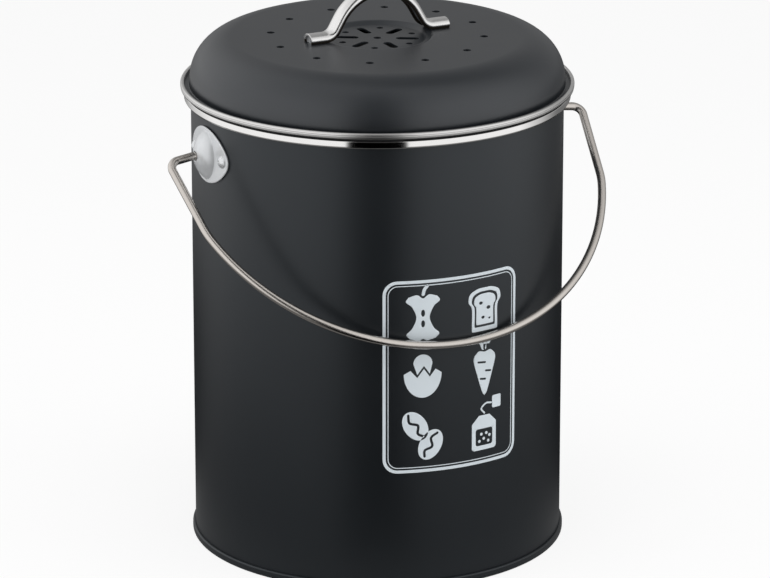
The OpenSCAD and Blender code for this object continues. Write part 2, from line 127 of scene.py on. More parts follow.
# %% Nodes from a type, settings and sockets
class Nodes:
    """Adds nodes to one node tree."""

    def __init__(self, tree):
        self.tree = tree

    def plug(self, socket, value):
        if isinstance(value, Wire):
            self.tree.links.new(value.socket, socket)
        else:
            socket.default_value = value

    def add(self, kind, settings, sockets, out=0):
        """One node: settings first, then its sockets by name or number."""
        node = self.tree.nodes.new("ShaderNode" + kind)
        for name, value in settings.items():
            if name == "stops":
                self.set_stops(node.color_ramp, value)
            else:
                setattr(node, name, value)
        for name, value in sockets.items():
            self.plug(node.inputs[name], value)
        return Wire(self, node.outputs[out])

    def set_stops(self, ramp, stops):
        while len(ramp.elements) < len(stops):
            ramp.elements.new(0.5)
        for element, (position, level) in zip(ramp.elements, stops):
            element.position = position
            element.color = (level, level, level, 1)

    def ramp(self, value, *stops):
        return self.add("ValToRGB", {"stops": stops}, {"Fac": value})

    def blend(self, dark, light, factor):
        """Colour between dark and light."""
        sockets = {0: factor, 6: (*dark, 1), 7: (*light, 1)}
        return self.add("Mix", {"data_type": "RGBA"}, sockets, out=2)

    def place(self):
        """Place on the object in metres, which is the frame's own place."""
        return self.add("TexCoord", {}, {}, out="Object")

    def split(self, vector):
        axes = []
        for axis in "XYZ":
            axes.append(self.add("SeparateXYZ", {}, {"Vector": vector}, out=axis))
        return axes

    def stretch(self, vector, x, y, z):
        settings = {"operation": "MULTIPLY"}
        return self.add("VectorMath", settings, {0: vector, 1: (x, y, z)})

    def grain(self, vector, scale, detail=2.0, rough=0.5):
        """Noise from 0 to 1 with about so many bumps to a metre."""
        sockets = {"Vector": vector, "Scale": scale, "Detail": detail, "Roughness": rough}
        return self.add("TexNoise", {}, sockets)

    def relief(self, height, depth, strength=1.0):
        """Bump of a height from 0 to 1, with its depth in metres."""
        sockets = {"Height": height, "Distance": depth, "Strength": strength}
        return self.add("Bump", {}, sockets)


# %% A finish on the Principled shader
class Finish(Nodes):
    """A material: constants sit on the shader's own sockets, wires feed the rest."""

    def __init__(self, name, **constants):
        self.material = bpy.data.materials.new(name)
        self.material.use_nodes = True
        super().__init__(self.material.node_tree)
        self.shader = self.tree.nodes["Principled BSDF"]
        for socket, value in constants.items():
            self.shader.inputs[socket.replace("_", " ")].default_value = value

    def wear(self, colour, roughness, normal=None):
        self.plug(self.shader.inputs["Base Color"], colour)
        self.plug(self.shader.inputs["Roughness"], roughness)
        if normal:
            self.plug(self.shader.inputs["Normal"], normal)
        return self.material


def grey(level, warmth=0.0):
    """A near neutral colour: a positive warmth takes blue out, a negative one adds it."""
    return (level * (1 + warmth), level, level * (1 - warmth))


# %% [markdown]
# ## Powder coat
# The bin and the lid are sprayed with black powder that melts in an oven. That leaves a satin
# skin with a very fine orange peel, a little cloudiness in its gloss, and no streaks. Two
# layers of noise give the peel and its finer grain, and a broad third one moves the roughness.

# %% Powder coat of the bin and of the lid
def powder_coat(name, level, roughness, ior, tint):
    finish = Finish(name, IOR=ior, Specular_Tint=(*tint, 1.0))
    place = finish.place()
    peel = finish.grain(place, 620, 1.5)
    tooth = finish.grain(place, 2600, 2.0, 0.6)
    cloud = finish.grain(place, 26, 3.0)
    dark = (level * 0.64, level * 0.86, level * 1.16)
    light = (level * 0.86, level * 1.14, level * 1.48)
    colour = finish.blend(dark, light, cloud)
    normal = finish.relief(peel * 0.7 + tooth * 0.3, 0.016 * MM)
    return finish.wear(colour, roughness - 0.04 + cloud * 0.05 + tooth * 0.03, normal)


bin_coat = powder_coat("bin powder coat", 0.0060, 0.39, 1.62, (0.89, 0.95, 1.0))
lid_coat = powder_coat("lid powder coat", 0.0085, 0.37, 1.73, (0.95, 0.97, 1.0))
print("powder coats made")

# %% [markdown]
# ## Bright metals
# The rim and the lid's edge are buffed strip, the rim to a mirror and the edge to a satin, and
# the wheels leave faint lines that run round the bin. The bail is drawn wire and the lid's
# handle is brushed strip, so their lines run along the stock. The sweep below stores where each
# point lay on the straight stock in a point attribute, and the finish reads that, so the lines
# follow every bend.

# %% Buffed strip with lines that run round
def polished(name, level, roughness):
    finish = Finish(name, Metallic=1.0)
    place = finish.place()
    height = finish.split(place)[2]
    radius = finish.add("VectorMath", {"operation": "LENGTH"},
                        {0: finish.stretch(place, *FLAT)}, out="Value")
    lines_at = finish.add("CombineXYZ", {}, {"X": radius, "Y": height})
    lines = finish.grain(lines_at, 5200, 3.0, 0.7)
    haze = finish.grain(place, 90, 3.0)
    colour = finish.blend(grey(level * 0.94, 0.015), grey(level, 0.010), lines)
    normal = finish.relief(lines, 0.0003 * MM)
    return finish.wear(colour, roughness - 0.02 + lines * 0.03 + haze * 0.04, normal)


rim_chrome = polished("polished rim", 0.86, 0.07)
edge_chrome = polished("satin lid edge", 0.78, 0.27)


# %% Drawn wire and brushed strip with lines along the stock
# a dark brown that is painted shade on the lower sides of the handle's strip
PAINTED_SHADE_BROWN = (0.115, 0.095, 0.075)


def drawn(name, level, warmth, roughness, depth, shaded_below=0.0):
    """Lines along the stock. Below the given height on its sides a strip gets a painted dark brown
    shade.
    """
    finish = Finish(name, Metallic=1.0)
    stock = finish.add("Attribute", {"attribute_name": "stock"}, {}, out="Vector")
    lines = finish.grain(finish.stretch(stock, 1, 1, 0.012), 2600, 2.0, 0.6)
    haze = finish.grain(finish.place(), 160, 3.0)
    colour = finish.blend(grey(level * 0.86, warmth * 1.4), grey(level, warmth), lines)
    # painted shade: below that height the strip's sides turn dark brown, standing for the lid's dark
    # reflection
    if shaded_below:
        height = finish.split(stock)[1] * (1 / shaded_below)
        skin = finish.ramp(height * 0.5 + lines * 0.1, (0.48, 1.0), (0.60, 0.0))
        sockets = {0: skin, 6: colour, 7: (*PAINTED_SHADE_BROWN, 1)}
        colour = finish.add("Mix", {"data_type": "RGBA"}, sockets, out=2)
    normal = finish.relief(lines, depth)
    return finish.wear(colour, roughness - 0.06 + lines * 0.08 + haze * 0.08, normal)


wire_nickel = drawn("drawn nickel wire", 0.66, 0.055, 0.22, 0.0004 * MM)
strip_steel = drawn("brushed strip", 0.90, 0.006, 0.20, 0.0004 * MM, shaded_below=1.4 * MM)


# %% [markdown]
# ## Zinc
# Ears, rivets and nuts are pressed parts with a thin bluish zinc plating. It is soft and a
# little blotchy, like frost on a window, which comes from noise in the roughness and colour.
# Zinc grows a milky skin, so the shader is only part metal and the rest is a pale matte.

# %% Zinc plating
def zinc(name, level, roughness, metal):
    finish = Finish(name, Metallic=metal)
    place = finish.place()
    blotch = finish.grain(place, 420, 3.0, 0.6)
    speck = finish.grain(place, 3200, 2.0)
    colour = finish.blend(grey(level * 0.90, -0.03), grey(level, -0.015), blotch)
    normal = finish.relief(blotch * 0.6 + speck * 0.4, 0.004 * MM)
    return finish.wear(colour, roughness - 0.07 + blotch * 0.12 + speck * 0.03, normal)


ear_zinc = zinc("zinc ear", 0.74, 0.34, 0.5)
rivet_zinc = zinc("rivet steel", 0.80, 0.26, 0.75)
fastener_zinc = zinc("fastener zinc", 0.68, 0.33, 0.7)
print("metals made")

# %% [markdown]
# ## Plastic, rubber, felt and ink
# The liner and the filter's housing are moulded with a fine spark texture. The seal is matte
# silicone, the pad is carbon felt with short fibres, and the picture on the front is a thin
# layer of pale ink that takes on the tooth of the coat below it.

# %% Moulded plastic and silicone
def moulded(name, level, roughness, spark, depth):
    finish = Finish(name, IOR=1.46)
    place = finish.place()
    texture = finish.grain(place, spark, 2.5, 0.65)
    cloud = finish.grain(place, 30, 2.0)
    colour = finish.blend(grey(level * 0.9, -0.03), grey(level * 1.1, -0.03), cloud)
    return finish.wear(colour, roughness - 0.05 + texture * 0.1, finish.relief(texture, depth))


liner_plastic = moulded("liner plastic", 0.030, 0.48, 1900, 0.02 * MM)
filter_plastic = moulded("filter plastic", 0.036, 0.46, 2300, 0.015 * MM)
seal_rubber = moulded("seal silicone", 0.060, 0.62, 3500, 0.006 * MM)


# %% Carbon felt
def carbon_felt():
    finish = Finish("carbon felt", Specular_IOR_Level=0.2)
    place = finish.place()
    fibre = finish.grain(finish.stretch(place, 1, 1, 2.5), 1500, 5.0, 0.75)
    clump = finish.grain(place, 240, 3.0)
    shade = finish.ramp(fibre * 0.7 + clump * 0.3, (0.36, 0.0), (0.66, 1.0))
    colour = finish.blend(grey(0.008), grey(0.040, 0.02), shade)
    return finish.wear(colour, 0.9 - fibre * 0.1, finish.relief(shade, 0.25 * MM))


felt = carbon_felt()


# %% Pale ink
def pale_ink():
    finish = Finish("pale ink", IOR=1.45)
    place = finish.place()
    tooth = finish.grain(place, 2600, 2.0, 0.6)
    cover = finish.grain(place, 140, 3.0)
    colour = finish.blend((0.59, 0.65, 0.69), (0.67, 0.73, 0.77), cover * 0.6 + tooth * 0.4)
    return finish.wear(colour, 0.42 + tooth * 0.08, finish.relief(tooth, 0.006 * MM))


ink = pale_ink()
print("plastics, felt and ink made")

# %% [markdown]
# ## Outlines and turning
# Almost every sheet here is round, because it is rolled, spun or pressed between round dies.
# So a piece is drawn as half a section, with each corner given a radius, and is turned about
# the bin's axis. That gives true round edges that catch the light, with no bevel needed.

# %% An outline whose corners are arcs
def rounded(corners, steps=6):
    """Closed outline through corners (x, y, radius): a corner with a radius becomes an arc."""
    outline = []
    for i, (x, y, radius) in enumerate(corners):
        corner = Vector((x, y))
        if not radius:
            outline.append(corner)
            continue
        before = (Vector(corners[i - 1][:2]) - corner).normalized()
        after = (Vector(corners[(i + 1) % len(corners)][:2]) - corner).normalized()
        half = before.angle(after) / 2
        centre = corner + (before + after).normalized() * radius / math.sin(half)
        start = corner + before * radius / math.tan(half) - centre
        end = corner + after * radius / math.tan(half) - centre
        first = math.atan2(start.y, start.x)
        sweep = (math.atan2(end.y, end.x) - first + math.pi) % math.tau - math.pi
        for k in range(steps + 1):
            angle = first + sweep * k / steps
            outline.append(centre + radius * Vector((math.cos(angle), math.sin(angle))))
    return outline


# %% Turn an outline about Z
TURNS = 256


def turn_into(bm, outline, start=0.0, span=math.tau, turns=TURNS):
    """Adds an outline of (radius, height) points, turned about Z, as a closed skin."""
    whole = span == math.tau
    stops = turns if whole else turns + 1
    angles = [start + span * k / turns for k in range(stops)]
    on_axis = {i: bm.verts.new((0, 0, p.y)) for i, p in enumerate(outline) if p.x == 0}
    rings = []
    for angle in angles:
        ring = []
        for i, p in enumerate(outline):
            spot = (p.x * math.cos(angle), p.x * math.sin(angle), p.y)
            ring.append(on_axis[i] if i in on_axis else bm.verts.new(spot))
        rings.append(ring)
    for a, ring in enumerate(rings if whole else rings[:-1]):
        following = rings[(a + 1) % len(rings)]
        for i in range(len(outline)):
            j = (i + 1) % len(outline)
            corners = [ring[i], following[i], following[j], ring[j]]
            corners = list(dict.fromkeys(corners))
            if len(corners) > 2:
                bm.faces.new(corners)
    if not whole:
        bm.faces.new(rings[0])
        bm.faces.new(rings[-1])
    return bm


def turned(corners, steps=6, **angles):
    return turn_into(bmesh.new(), rounded(corners, steps), **angles)


# %% Make an object of a mesh and fit it to the frame
def fit(name, bm, finish, body, replaced=(), crease=32):
    """A shaded piece on a body, standing for the CAD nodes that it replaces."""
    bmesh.ops.recalc_face_normals(bm, faces=bm.faces)
    mesh = bpy.data.meshes.new(name)
    bm.to_mesh(mesh)
    bm.free()
    mesh.materials.append(finish)
    mesh.shade_smooth()
    mesh.set_sharp_from_angle(angle=math.radians(crease))
    piece = bpy.data.objects.new(name, mesh)
    scene.collection.objects.link(piece)
    shading = piece.modifiers.new("even shading", "WEIGHTED_NORMAL")
    shading.keep_sharp = True
    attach(piece, body)
    if replaced:
        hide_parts(*replaced)
    print(f"{name}: {len(mesh.vertices)} points, {len(mesh.polygons)} faces on {body}")
    return piece


# %% [markdown]
# ## The bin's wall
# A strip of 1 mm sheet is rolled into a tube and butt welded, so a shallow line runs down its
# back where the weld was ground flat. The tube is a turned rectangle, and the weld is a
# narrow groove pressed into the outer skin afterwards, where the turning has extra stops.

# %% Bin wall with its ground weld
WELD_AT = math.radians(90)
WELD_HALF_WIDTH = 1.3 * MM
WELD_DEPTH = 0.12 * MM


def bin_wall():
    edge = 0.25 * MM
    bm = turned([(bin_r - sheet, bin_low.z, edge), (bin_r, bin_low.z, edge),
                 (bin_r, bin_high.z, edge), (bin_r - sheet, bin_high.z, edge)], steps=2)
    for offset in range(-6, 7):
        angle = WELD_AT + offset * WELD_HALF_WIDTH / 6 / bin_r
        across = Vector((-math.sin(angle), math.cos(angle), 0))
        back = [f for f in bm.faces if f.calc_center_median().y > bin_r * 0.9]
        edges = list({e for f in back for e in f.edges})
        points = list({v for f in back for v in f.verts})
        bmesh.ops.bisect_plane(bm, geom=back + edges + points, plane_co=(0, 0, 0),
                               plane_no=across, dist=1e-7)
    for v in bm.verts:
        off_weld = abs(math.atan2(v.co.y, v.co.x) - WELD_AT) * bin_r
        radius = v.co.xy.length
        if off_weld < WELD_HALF_WIDTH and radius > bin_r - sheet / 2:
            dip = WELD_DEPTH * (1 + math.cos(math.pi * off_weld / WELD_HALF_WIDTH)) / 2
            v.co.xy *= (radius - dip) / radius
    return bm


fit("bin_wall_coated", bin_wall(), bin_coat, "bin", ["bin_wall"])

# %% [markdown]
# ## The base pan
# The floor of the bin is a pressed pan. Its edge is folded round the foot of the wall and
# rolled tight, which leaves the raised seam at the bottom of the bin. The seam, the groove
# that grips the wall and the pressed panel are all in one turned section.

# %% Base pan with its rolled seam
seam_r = foot_high.x
pan_leg_r = bin_r - sheet - thin_sheet
seam_h = 3.8 * MM
pan_z = 5.0 * MM
panel_r = 62 * MM
panel_z = foot_high.z - thin_sheet
panel_slope = 3.0 * MM
grip = 0.02 * MM


def base_pan():
    shoulder_r = panel_r + panel_slope
    return turned([
        (0, panel_z, 0), (panel_r, panel_z, 1 * MM), (shoulder_r, pan_z, 1.5 * MM),
        (pan_leg_r, pan_z, 0.4 * MM), (pan_leg_r, 0, 0.7 * MM), (seam_r, 0, 1.0 * MM),
        (seam_r, seam_h, 0.9 * MM), (bin_r + grip, seam_h, 0.15 * MM),
        (bin_r + grip, thin_sheet, 0), (bin_r - sheet - grip, thin_sheet, 0),
        (bin_r - sheet - grip, pan_z + thin_sheet, 1 * MM),
        (shoulder_r, pan_z + thin_sheet, 1 * MM), (panel_r, foot_high.z, 1.5 * MM),
        (0, foot_high.z, 0)])


fit("base_pan_coated", base_pan(), bin_coat, "bin", ["base_pan"])

# %% [markdown]
# ## The polished rim
# A strip of bright steel is rolled over the wall's top edge: one leg goes down inside, and the
# outer side stands proud as a flat face with round corners, open underneath. The strip's real
# thickness is drawn, so the hollow below it is there when the bin is seen from low down.

# %% Rim band
def rim_band():
    leg_r = bin_r - sheet - thin_sheet
    foot_z = rim_z - 3.8 * MM
    roof_z = rim_z - thin_sheet
    return turned([
        (leg_r, rim_low.z, 0.3 * MM), (leg_r, rim_z, 0.9 * MM), (rim_r, rim_z, 0.5 * MM),
        (rim_r, foot_z, 1.15 * MM), (bin_r + grip, foot_z, 0.15 * MM),
        (bin_r + grip, foot_z + thin_sheet, 0), (rim_r - thin_sheet, foot_z + thin_sheet, 0.4 * MM),
        (rim_r - thin_sheet, roof_z, 0.3 * MM), (bin_r - sheet - grip, roof_z, 0),
        (bin_r - sheet - grip, rim_low.z, 0.3 * MM)], steps=8)


fit("rim_band_polished", rim_band(), rim_chrome, "bin", ["rim_band"])

# %% [markdown]
# ## The ears
# Each ear is one piece of sheet, pressed so that its middle swells into a pod that the bail's
# wire turns in. The oval plate follows the wall. Its height above any point is a formula: the
# wall's curve or the pod's, whichever is higher, with a soft fillet where they meet. So the ear
# is made as rings of points round the wire's hole, out to the oval's edge and back underneath.

# %% The ear's oval edge and the pod's height
ear_t = 1.1 * MM
ear_face = bin_r + ear_t
ear_half_w = ear_high.y
ear_half_h = (ear_high.z - ear_low.z) / 2
ear_end_r = 6.8 * MM
pod_x = bin_r - 3 * MM
pod_r = ear_high.x - pod_x
pod_arc_r = 15.5 * MM
hole_r = 2.25 * MM
print(f"ear {2 * ear_half_w:.4f} wide, {2 * ear_half_h:.4f} high, pod tip at {ear_high.x:.4f}")


def inside_oval(y, z):
    flat_r = ((ear_half_w - ear_end_r) ** 2 + ear_half_h ** 2 - ear_end_r ** 2)
    flat_r = flat_r / (2 * (ear_half_h - ear_end_r))
    join_y = (ear_half_w - ear_end_r) * flat_r / (flat_r - ear_end_r)
    if abs(y) > join_y:
        return math.hypot(abs(y) - ear_half_w + ear_end_r, z) < ear_end_r
    return math.hypot(y, abs(z) + flat_r - ear_half_h) < flat_r


def sheet_and_pod(y, z, depth):
    """How far out the plate and the pod reach at a place, with the sheet's depth taken off."""
    plate = math.sqrt((ear_face - depth) ** 2 - y * y)
    girth = pod_r - pod_arc_r + math.sqrt(max((pod_arc_r - depth) ** 2 - z * z, 0))
    if girth < abs(y):
        return plate, 0
    return plate, pod_x + math.sqrt(girth * girth - y * y)


def ear_height(y, z, depth=0.0, fillet=0.3 * MM):
    plate, pod = sheet_and_pod(y, z, depth)
    near = max(fillet - abs(plate - pod), 0) / fillet
    return max(plate, pod) + near * near * fillet / 4


# %% Find where a ray from the middle leaves a shape
def reach(inside, angle):
    low, high = 0.0, 2 * ear_half_w
    for _ in range(24):
        middle = (low + high) / 2
        if inside(middle * math.cos(angle), middle * math.sin(angle)):
            low = middle
        else:
            high = middle
    return low


def on_pod(y, z):
    plate, pod = sheet_and_pod(y, z, 0)
    return pod > plate


# %% Left and right ear
def ear(side):
    """Rings from the hole out to the oval's edge, and back under the sheet to the hole."""
    edge, lip, undercut, soft = 0.35 * MM, 0.35 * MM, 0.6 * MM, 0.7 * MM
    rays = 128
    bm = bmesh.new()
    rows = []
    for k in range(rays):
        angle = math.tau * k / rays
        rim, foot = reach(inside_oval, angle), reach(on_pod, angle)
        outer = [(hole_r + lip * (1 - math.sin(a)), lip * (1 - math.cos(a)))
                 for a in (math.pi / 2, math.pi / 3, math.pi / 6)]
        pod_start, pod_end = hole_r + lip, foot - soft
        for n in range(21):
            outer.append((pod_start + (pod_end - pod_start) * math.sin(n * math.pi / 40), 0))
        outer += [(foot - soft + 2 * soft * n / 8, 0) for n in range(1, 9)]
        outer += [(foot + soft + (rim - edge - foot - soft) * n / 6, 0) for n in range(1, 7)]
        outer += [(rim - edge * (1 - math.sin(a)), edge * (1 - math.cos(a)))
                  for a in (math.pi / 6, math.pi / 3, math.pi / 2)]
        row = []
        for distance, drop in outer:
            y, z = distance * math.cos(angle), distance * math.sin(angle)
            row.append((side * (ear_height(y, z) - drop), y, ear_z + z))
        for n in range(25):
            distance = rim - undercut + (hole_r - rim + undercut) * n / 24
            y, z = distance * math.cos(angle), distance * math.sin(angle)
            row.append((side * ear_height(y, z, ear_t), y, ear_z + z))
        rows.append([bm.verts.new(spot) for spot in row])
    for k, row in enumerate(rows):
        following = rows[(k + 1) % rays]
        for i in range(len(row)):
            j = (i + 1) % len(row)
            bm.faces.new((row[i], following[i], following[j], row[j]))
    return bm


fit("left_ear_pressed", ear(-1), ear_zinc, "bin", ["left_ear"])
fit("right_ear_pressed", ear(1), ear_zinc, "bin", ["right_ear"])

# %% [markdown]
# ## Rivets
# Two domed rivets hold each ear, and their closed ends show inside the bin when the liner is
# out. A rivet is turned about its own axis, then laid on its side at its place on the ear.

# %% Rivets of both ears
rivet_r = 1.6 * MM
rivet_turn = 15.5 * MM / ear_face


def rivets(side):
    dome_r, dome_h, tail_r, tail_h = 3.1 * MM, 1.6 * MM, 2.8 * MM, 1 * MM
    wall_in = bin_r - sheet
    ball_r = (dome_r ** 2 + dome_h ** 2) / (2 * dome_h)
    open_angle = math.asin(dome_r / ball_r)
    outline = rounded([(0, wall_in - tail_h, 0), (tail_r, wall_in - tail_h, 0.5 * MM),
                       (tail_r, wall_in, 0), (rivet_r, wall_in, 0), (rivet_r, ear_face, 0),
                       (dome_r, ear_face - 0.1 * MM, 0)])
    for n in range(13):
        angle = open_angle * (1 - n / 12)
        outline.append(Vector((ball_r * math.sin(angle),
                               ear_face + dome_h - ball_r * (1 - math.cos(angle)))))
    outline[-1].x = 0
    bm = bmesh.new()
    for turn in (-rivet_turn, rivet_turn):
        before = set(bm.verts)
        turn_into(bm, outline, turns=48)
        new = [v for v in bm.verts if v not in before]
        lay = Matrix.Rotation(turn + (0 if side > 0 else math.pi), 4, "Z")
        lay = Matrix.Translation((0, 0, ear_z)) @ lay @ Matrix.Rotation(math.pi / 2, 4, "Y")
        bmesh.ops.transform(bm, matrix=lay, verts=new)
    return bm


fit("left_ear_rivets_domed", rivets(-1), rivet_zinc, "bin", ["left_ear_rivets"])
fit("right_ear_rivets_domed", rivets(1), rivet_zinc, "bin", ["right_ear_rivets"])

# %% [markdown]
# ## Bent stock
# The bail and the lid's handle are straight stock bent in one plane. `Route` walks along such a
# piece in straight runs and bends, as the bender's drawing gives them, and `sweep` carries a
# section along it. The place on the straight stock is kept in the "stock" attribute.

# %% Walk in runs and bends
class Route:
    """Stations along bent stock: place in the plane, heading and distance walked."""

    def __init__(self, x, y):
        self.stations = [(Vector((x, y)), 0.0, 0.0)]

    def run(self, length, steps=1):
        start, heading, walked = self.stations[-1]
        ahead = Vector((math.cos(heading), math.sin(heading)))
        for k in range(1, steps + 1):
            way = length * k / steps
            self.stations.append((start + ahead * way, heading, walked + way))
        return self

    def bend(self, radius, turn, steps=12):
        """Turns left, or right where the turn is negative, about a centre at that radius."""
        start, heading, walked = self.stations[-1]
        side = math.copysign(1, turn)
        centre = start + side * radius * Vector((-math.sin(heading), math.cos(heading)))
        for k in range(1, steps + 1):
            now = heading + turn * k / steps
            spot = centre + side * radius * Vector((math.sin(now), -math.cos(now)))
            self.stations.append((spot, now, walked + abs(turn) * radius * k / steps))
        return self


# %% Carry a section along a route
def sweep(stations, section, origin, x_axis, y_axis, widths=None):
    """Section points are (across, out): across the plane, and out to the left of the way."""
    z_axis = x_axis.cross(y_axis)
    bm = bmesh.new()
    stock = bm.verts.layers.float_vector.new("stock")
    rings = []
    for n, (spot, heading, walked) in enumerate(stations):
        left = Vector((-math.sin(heading), math.cos(heading)))
        width = widths[n] if widths else 1.0
        ring = []
        for across, out in section:
            flat = spot + left * out * width
            v = bm.verts.new(origin + x_axis * flat.x + y_axis * flat.y + z_axis * across * width)
            v[stock] = (across, out, walked)
            ring.append(v)
        rings.append(ring)
    for ring, following in zip(rings, rings[1:]):
        for i in range(len(ring)):
            j = (i + 1) % len(ring)
            bm.faces.new((ring[i], following[i], following[j], ring[j]))
    bm.faces.new(rings[0])
    bm.faces.new(rings[-1])
    return bm


# %% [markdown]
# ## The bail
# One length of 4 mm wire: a pin through each ear with an upset head inside the pod, a short
# stub, a tight bend, a leg, a shoulder and one wide hoop. It rests against the wall under its
# own weight. The hoop's size follows from the runs and bends before it, so both sides meet.

# %% The bail's bends
wire_r = 2 * MM
stub_dip = math.radians(8.7)
leg_dir = math.radians(90 + 7.4)
shoulder_turn = math.radians(11.3)
hoop_dir = leg_dir + shoulder_turn
tip_bend_r, ear_bend_r, shoulder_bend_r = 6 * MM, 5 * MM, 35 * MM
leg_len = 34 * MM
pin_end = ear_high.x + 0.6 * MM
widest = bail_high.x - wire_r
wire_head_r, wire_head_t = 3.1 * MM, 1.4 * MM
head_x = pod_x + math.sqrt((pod_r - ear_t) ** 2 - wire_head_r ** 2) - 0.3 * MM
stub_len = (widest - pin_end - tip_bend_r * math.sin(stub_dip)
            - ear_bend_r * (1 - math.sin(stub_dip))) / math.cos(stub_dip)
ROUND = [(wire_r * math.cos(math.tau * k / 32), wire_r * math.sin(math.tau * k / 32))
         for k in range(32)]


def half_bail():
    route = Route(head_x, 0).run(pin_end - head_x, 2).bend(tip_bend_r, stub_dip, 4)
    route.run(stub_len, 2).bend(ear_bend_r, leg_dir - stub_dip, 20).run(leg_len, 6)
    return route.bend(shoulder_bend_r, shoulder_turn, 8)


# %% Sweep the bail
def bail():
    shoulder_end = half_bail().stations[-1][0]
    hoop_r = shoulder_end.x / math.sin(hoop_dir)
    hoop_depth = shoulder_end.y + hoop_r * (1 + math.cos(hoop_dir))
    tilt = math.asin((bin_r + wire_r + 0.3 * MM) / hoop_depth)
    route = half_bail().bend(hoop_r, 2 * (math.pi - hoop_dir), 96)
    route.bend(shoulder_bend_r, shoulder_turn, 8).run(leg_len, 6)
    route.bend(ear_bend_r, leg_dir - stub_dip, 20).run(stub_len, 2)
    route.bend(tip_bend_r, stub_dip, 4).run(pin_end - head_x, 2)
    swell = wire_head_r / wire_r
    head = [(1.0, swell * 0.86), (0.88, swell), (0.2, swell), (0.0, swell * 0.8)]
    stations, widths = [], []
    for back, width in head:
        spot = Vector((head_x - wire_head_t * back, 0))
        stations.append((spot, 0.0, -wire_head_t * back))
        widths.append(width)
    stations += route.stations
    widths += [1.0] * len(route.stations)
    end, heading, walked = route.stations[-1]
    for back, width in reversed(head):
        spot = Vector((-head_x + wire_head_t * back, end.y))
        stations.append((spot, heading, walked + wire_head_t * back))
        widths.append(width)
    print(f"bail hoop radius {hoop_r:.4f}, depth {hoop_depth:.4f}, tilt {math.degrees(tilt):.2f}")
    down = Vector((0, -math.sin(tilt), -math.cos(tilt)))
    return sweep(stations, ROUND, Vector((0, 0, ear_z)), Vector((1, 0, 0)), down, widths)


fit("bail_wire", bail(), wire_nickel, "bail", ["bail"])

# %% [markdown]
# ## The liner
# The liner is a moulded bucket with a straight mouth, a tapered body and a lip that hangs on
# the rim. Its lip is the thin dark line between the two bright rings. Two finger ledges inside
# help to lift it out: they are the same kind of turned section, over a short angle.

# %% Liner bucket with its finger ledges
liner_t = 1.6 * MM
liner_r = liner_high.x - 4.8 * MM
liner_base_r = liner_r - 7 * MM
mouth_z = rim_z - 16 * MM
ledge_z = rim_z - 26 * MM
LEDGE_SPAN = math.radians(36)


def liner_bucket():
    lip_r, floor_z = liner_high.x, liner_low.z
    chamfer = 4 * MM
    bm = turned([
        (0, floor_z, 0), (liner_base_r - chamfer, floor_z, 2 * MM),
        (liner_base_r, floor_z + chamfer, 3 * MM), (liner_r, mouth_z, 6 * MM),
        (liner_r, rim_z, 0.3 * MM), (lip_r, rim_z, 0.3 * MM), (lip_r, liner_high.z, 0.6 * MM),
        (liner_r - liner_t, liner_high.z, 0.7 * MM), (liner_r - liner_t, mouth_z, 6 * MM),
        (liner_base_r - liner_t, floor_z + chamfer, 2 * MM),
        (liner_base_r - chamfer - liner_t / 2, floor_z + liner_t, 2 * MM),
        (0, floor_z + liner_t, 0)])
    slope = (liner_r - liner_base_r) / (mouth_z - floor_z - chamfer)
    ledge_r = liner_r - slope * (mouth_z - ledge_z) - liner_t
    ledge = rounded([(ledge_r - 6 * MM, ledge_z, 1 * MM), (ledge_r + 0.5 * MM, ledge_z, 0),
                     (ledge_r + 0.5 * MM, ledge_z + 3 * MM, 0),
                     (ledge_r - 6 * MM, ledge_z + 3 * MM, 1.2 * MM)])
    for middle in (math.pi / 2, -math.pi / 2):
        turn_into(bm, ledge, middle - LEDGE_SPAN / 2, LEDGE_SPAN, turns=32)
    return bm


fit("liner_moulded", liner_bucket(), liner_plastic, "liner", ["liner_bucket"])

# %% [markdown]
# ## The lid's shell
# The lid is spun sheet: a flat flange, a short wall, a big round shoulder, a flat top and a
# shallow dish in the middle. The vents are punched before coating, so the coat rounds their
# edges. Each punch here flares at the sheet's face, and the cut leaves that soft edge behind.

# %% The shell's section
dome_r = inner_high.x + sheet
shoulder_r = 20.7 * MM
dish_r, dish_floor_r, dish_depth = 26.5 * MM, 23 * MM, 1.7 * MM
flange_r = shell_high.x


def plain_shell():
    inner_r = dome_r - sheet
    half = sheet / 2
    return turned([
        (0, top_z - dish_depth, 0), (dish_floor_r, top_z - dish_depth, 3 * MM),
        (dish_r, top_z, 4 * MM), (dome_r, top_z, shoulder_r),
        (dome_r, lid_z + sheet, 0.6 * MM), (flange_r, lid_z + sheet, 0.3 * MM),
        (flange_r, lid_z, 0.3 * MM), (inner_r, lid_z, 0.5 * MM),
        (inner_r, top_z - sheet, shoulder_r - sheet),
        (dish_r + half, top_z - sheet, 3 * MM),
        (dish_floor_r + half, top_z - dish_depth - sheet, 4 * MM),
        (0, top_z - dish_depth - sheet, 0)], steps=18)


# %% A punch with a flared neck
def punch(bm, x, y, angle, half_length, radius, face_z):
    """Adds a cutter for a round or slotted hole whose top edge is soft."""
    soft = 0.15 * MM
    levels = [(radius, face_z - 6 * MM)]
    for n in range(5):
        lift = n / 4 * math.pi / 2
        levels.append((radius + soft * (1 - math.cos(lift)), face_z - soft * (1 - math.sin(lift))))
    levels.append((radius + soft, face_z + 1 * MM))
    turn = Matrix.Rotation(angle, 2)
    rings = []
    for wide, z in levels:
        ring = []
        for k in range(40):
            a = math.tau * (k + 0.5) / 40
            spot = Vector((wide * math.cos(a) + math.copysign(half_length, math.cos(a)),
                           wide * math.sin(a)))
            spot = turn @ spot
            ring.append(bm.verts.new((x + spot.x, y + spot.y, z)))
        rings.append(ring)
    for ring, following in zip(rings, rings[1:]):
        for i in range(len(ring)):
            j = (i + 1) % len(ring)
            bm.faces.new((ring[i], ring[j], following[j], following[i]))
    bm.faces.new(list(reversed(rings[0])))
    bm.faces.new(rings[-1])


